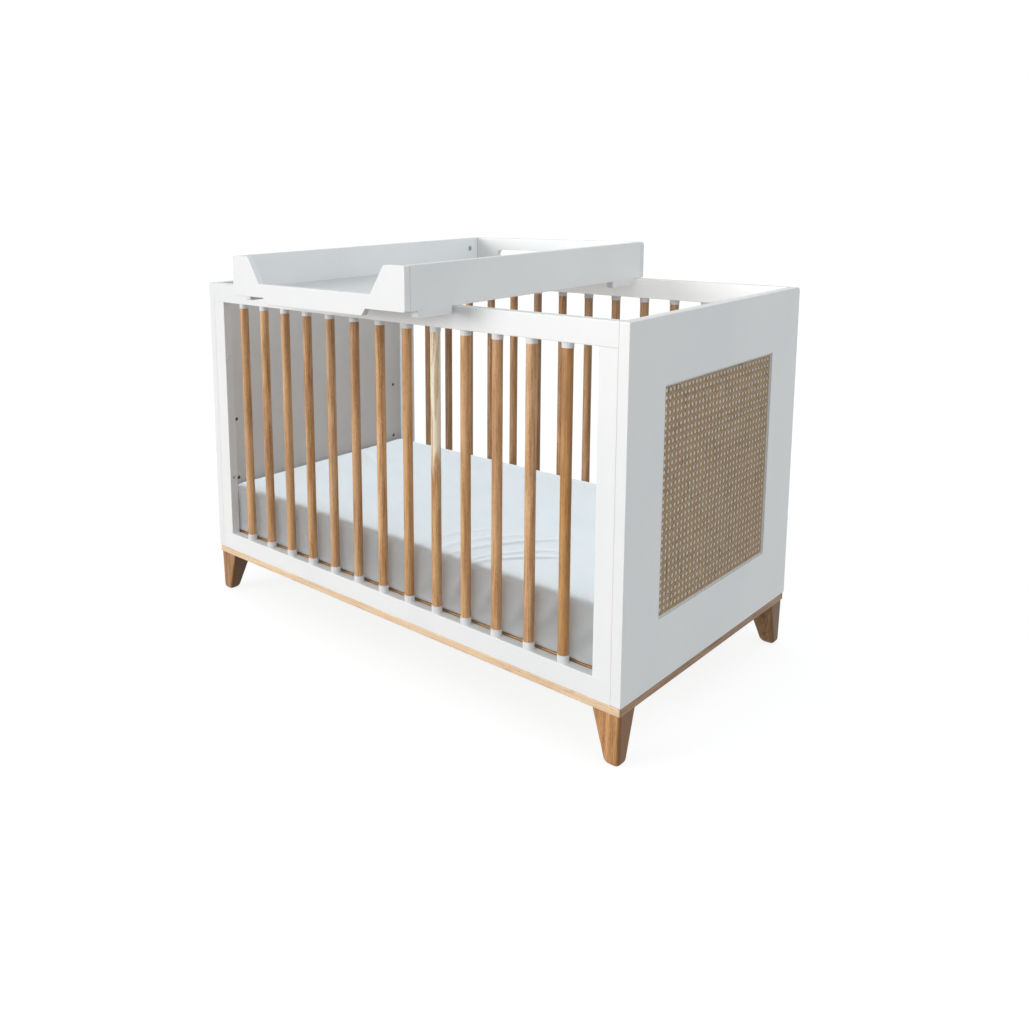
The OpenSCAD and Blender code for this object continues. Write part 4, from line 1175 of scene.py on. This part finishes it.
air_colour = blend_colours(tree, ramp(tree, height, 0.0, 0.9), AIR_LOW, AIR_HIGH)
air = put(tree, "ShaderNodeBackground", Color=air_colour, Strength=overhead)
sky = put(tree, "ShaderNodeBackground", Color=WHITE_LIGHT, Strength=1.0)
both = put(tree, "ShaderNodeMixShader", _0=seen_direct(tree), _1=air.outputs[0], _2=sky.outputs[0])
put(tree, "ShaderNodeOutputWorld", Surface=both.outputs[0])


def far_lamp(name, from_way, spread, strength, colour):
    """Even light from one way, soft by its spread, as from a large lamp far off."""
    light = bpy.data.lights.new(name, "SUN")
    light.angle = spread
    light.energy = strength
    light.color = colour
    lamp = new_object(name, light)
    lamp.matrix_world = Vector(from_way).to_track_quat("Z", "Y").to_matrix().to_4x4()
    return lamp


def light_only(name, pieces, lamps, shaded_by_them=False):
    """Lets the lamps reach these pieces alone, and be shaded by them alone if asked."""
    group = bpy.data.collections.new(name)
    bpy.context.scene.collection.children.link(group)
    for piece in pieces:
        group.objects.link(piece)
    for lamp in lamps:
        lamp.light_linking.receiver_collection = group
        if shaded_by_them:
            lamp.light_linking.blocker_collection = group


WARM = (1.0, 0.985, 0.965)
FAINTLY_WARM = (1.0, 0.985, 0.96)
COOL = (0.82, 0.935, 1.0)
COOLER = (0.80, 0.93, 1.0)
front_lamp = far_lamp("front_lamp", (-0.52, -1.0, 0.16), 0.5, 2.02, WARM)
side_lamp = far_lamp("side_lamp", (1.0, -0.15, 0.30), 0.4, 0.32, COOLER)
bedding_lamp = far_lamp("bedding_lamp", (-0.3, 1.0, 0.80), 0.35, 2.95, COOL)
bedding_fill = far_lamp("bedding_fill", (-1.0, -0.38, 0.12), 0.3, 0.60, FAINTLY_WARM)
back_fill = far_lamp("back_frame_fill", (-0.35, -1.0, 0.20), 0.5, 0.95, WARM)
for lamp in (side_lamp, bedding_lamp, bedding_fill, back_fill):
    lamp.data.cycles.max_bounces = 0

# The front lamp leaves out the bedding, which lies in the shade of its rail, and
# the side lamp leaves out the end panel and the stiles furthest from it.
SOFT = (pad, sheet, hem)
FAR_FROM_SIDE = ("end_panel_left", "front_left_stile", "back_left_stile")
hard = [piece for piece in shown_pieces() if piece not in SOFT]
near_side = [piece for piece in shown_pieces() if piece.name not in FAR_FROM_SIDE]
light_only("lit_from_front", hard + [floor], [front_lamp])
light_only("lit_from_side", near_side + [floor], [side_lamp])

# The bedding has two lamps and the back frame has one, as if nothing stood
# between them, since the tray and the front frame would leave both too dark.
back_frame = [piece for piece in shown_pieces() if piece.name.startswith("back_")]
light_only("bedding", SOFT, [bedding_lamp, bedding_fill], shaded_by_them=True)
light_only("back_frame", back_frame, [back_fill], shaded_by_them=True)

CAMERA_PLACE = (1.4976, -1.8111, 1.1006)
CAMERA_TURN = 0.8045
CAMERA_TILT = -0.159
CAMERA_ROLL = -0.0196

camera_data = bpy.data.cameras.new("camera")
camera_data.lens = 33.773
camera_data.sensor_width = 36.0
camera_data.shift_x = 0.1554
camera_data.shift_y = -0.1659
camera = new_object("camera", camera_data)
camera.matrix_world = (
    Matrix.Translation(CAMERA_PLACE)
    @ Matrix.Rotation(CAMERA_TURN, 4, "Z")
    @ Matrix.Rotation(math.pi / 2 + CAMERA_TILT, 4, "X")
    @ Matrix.Rotation(CAMERA_ROLL, 4, "Z")
)
bpy.context.scene.camera = camera
bpy.context.scene.view_settings.view_transform = "Standard"
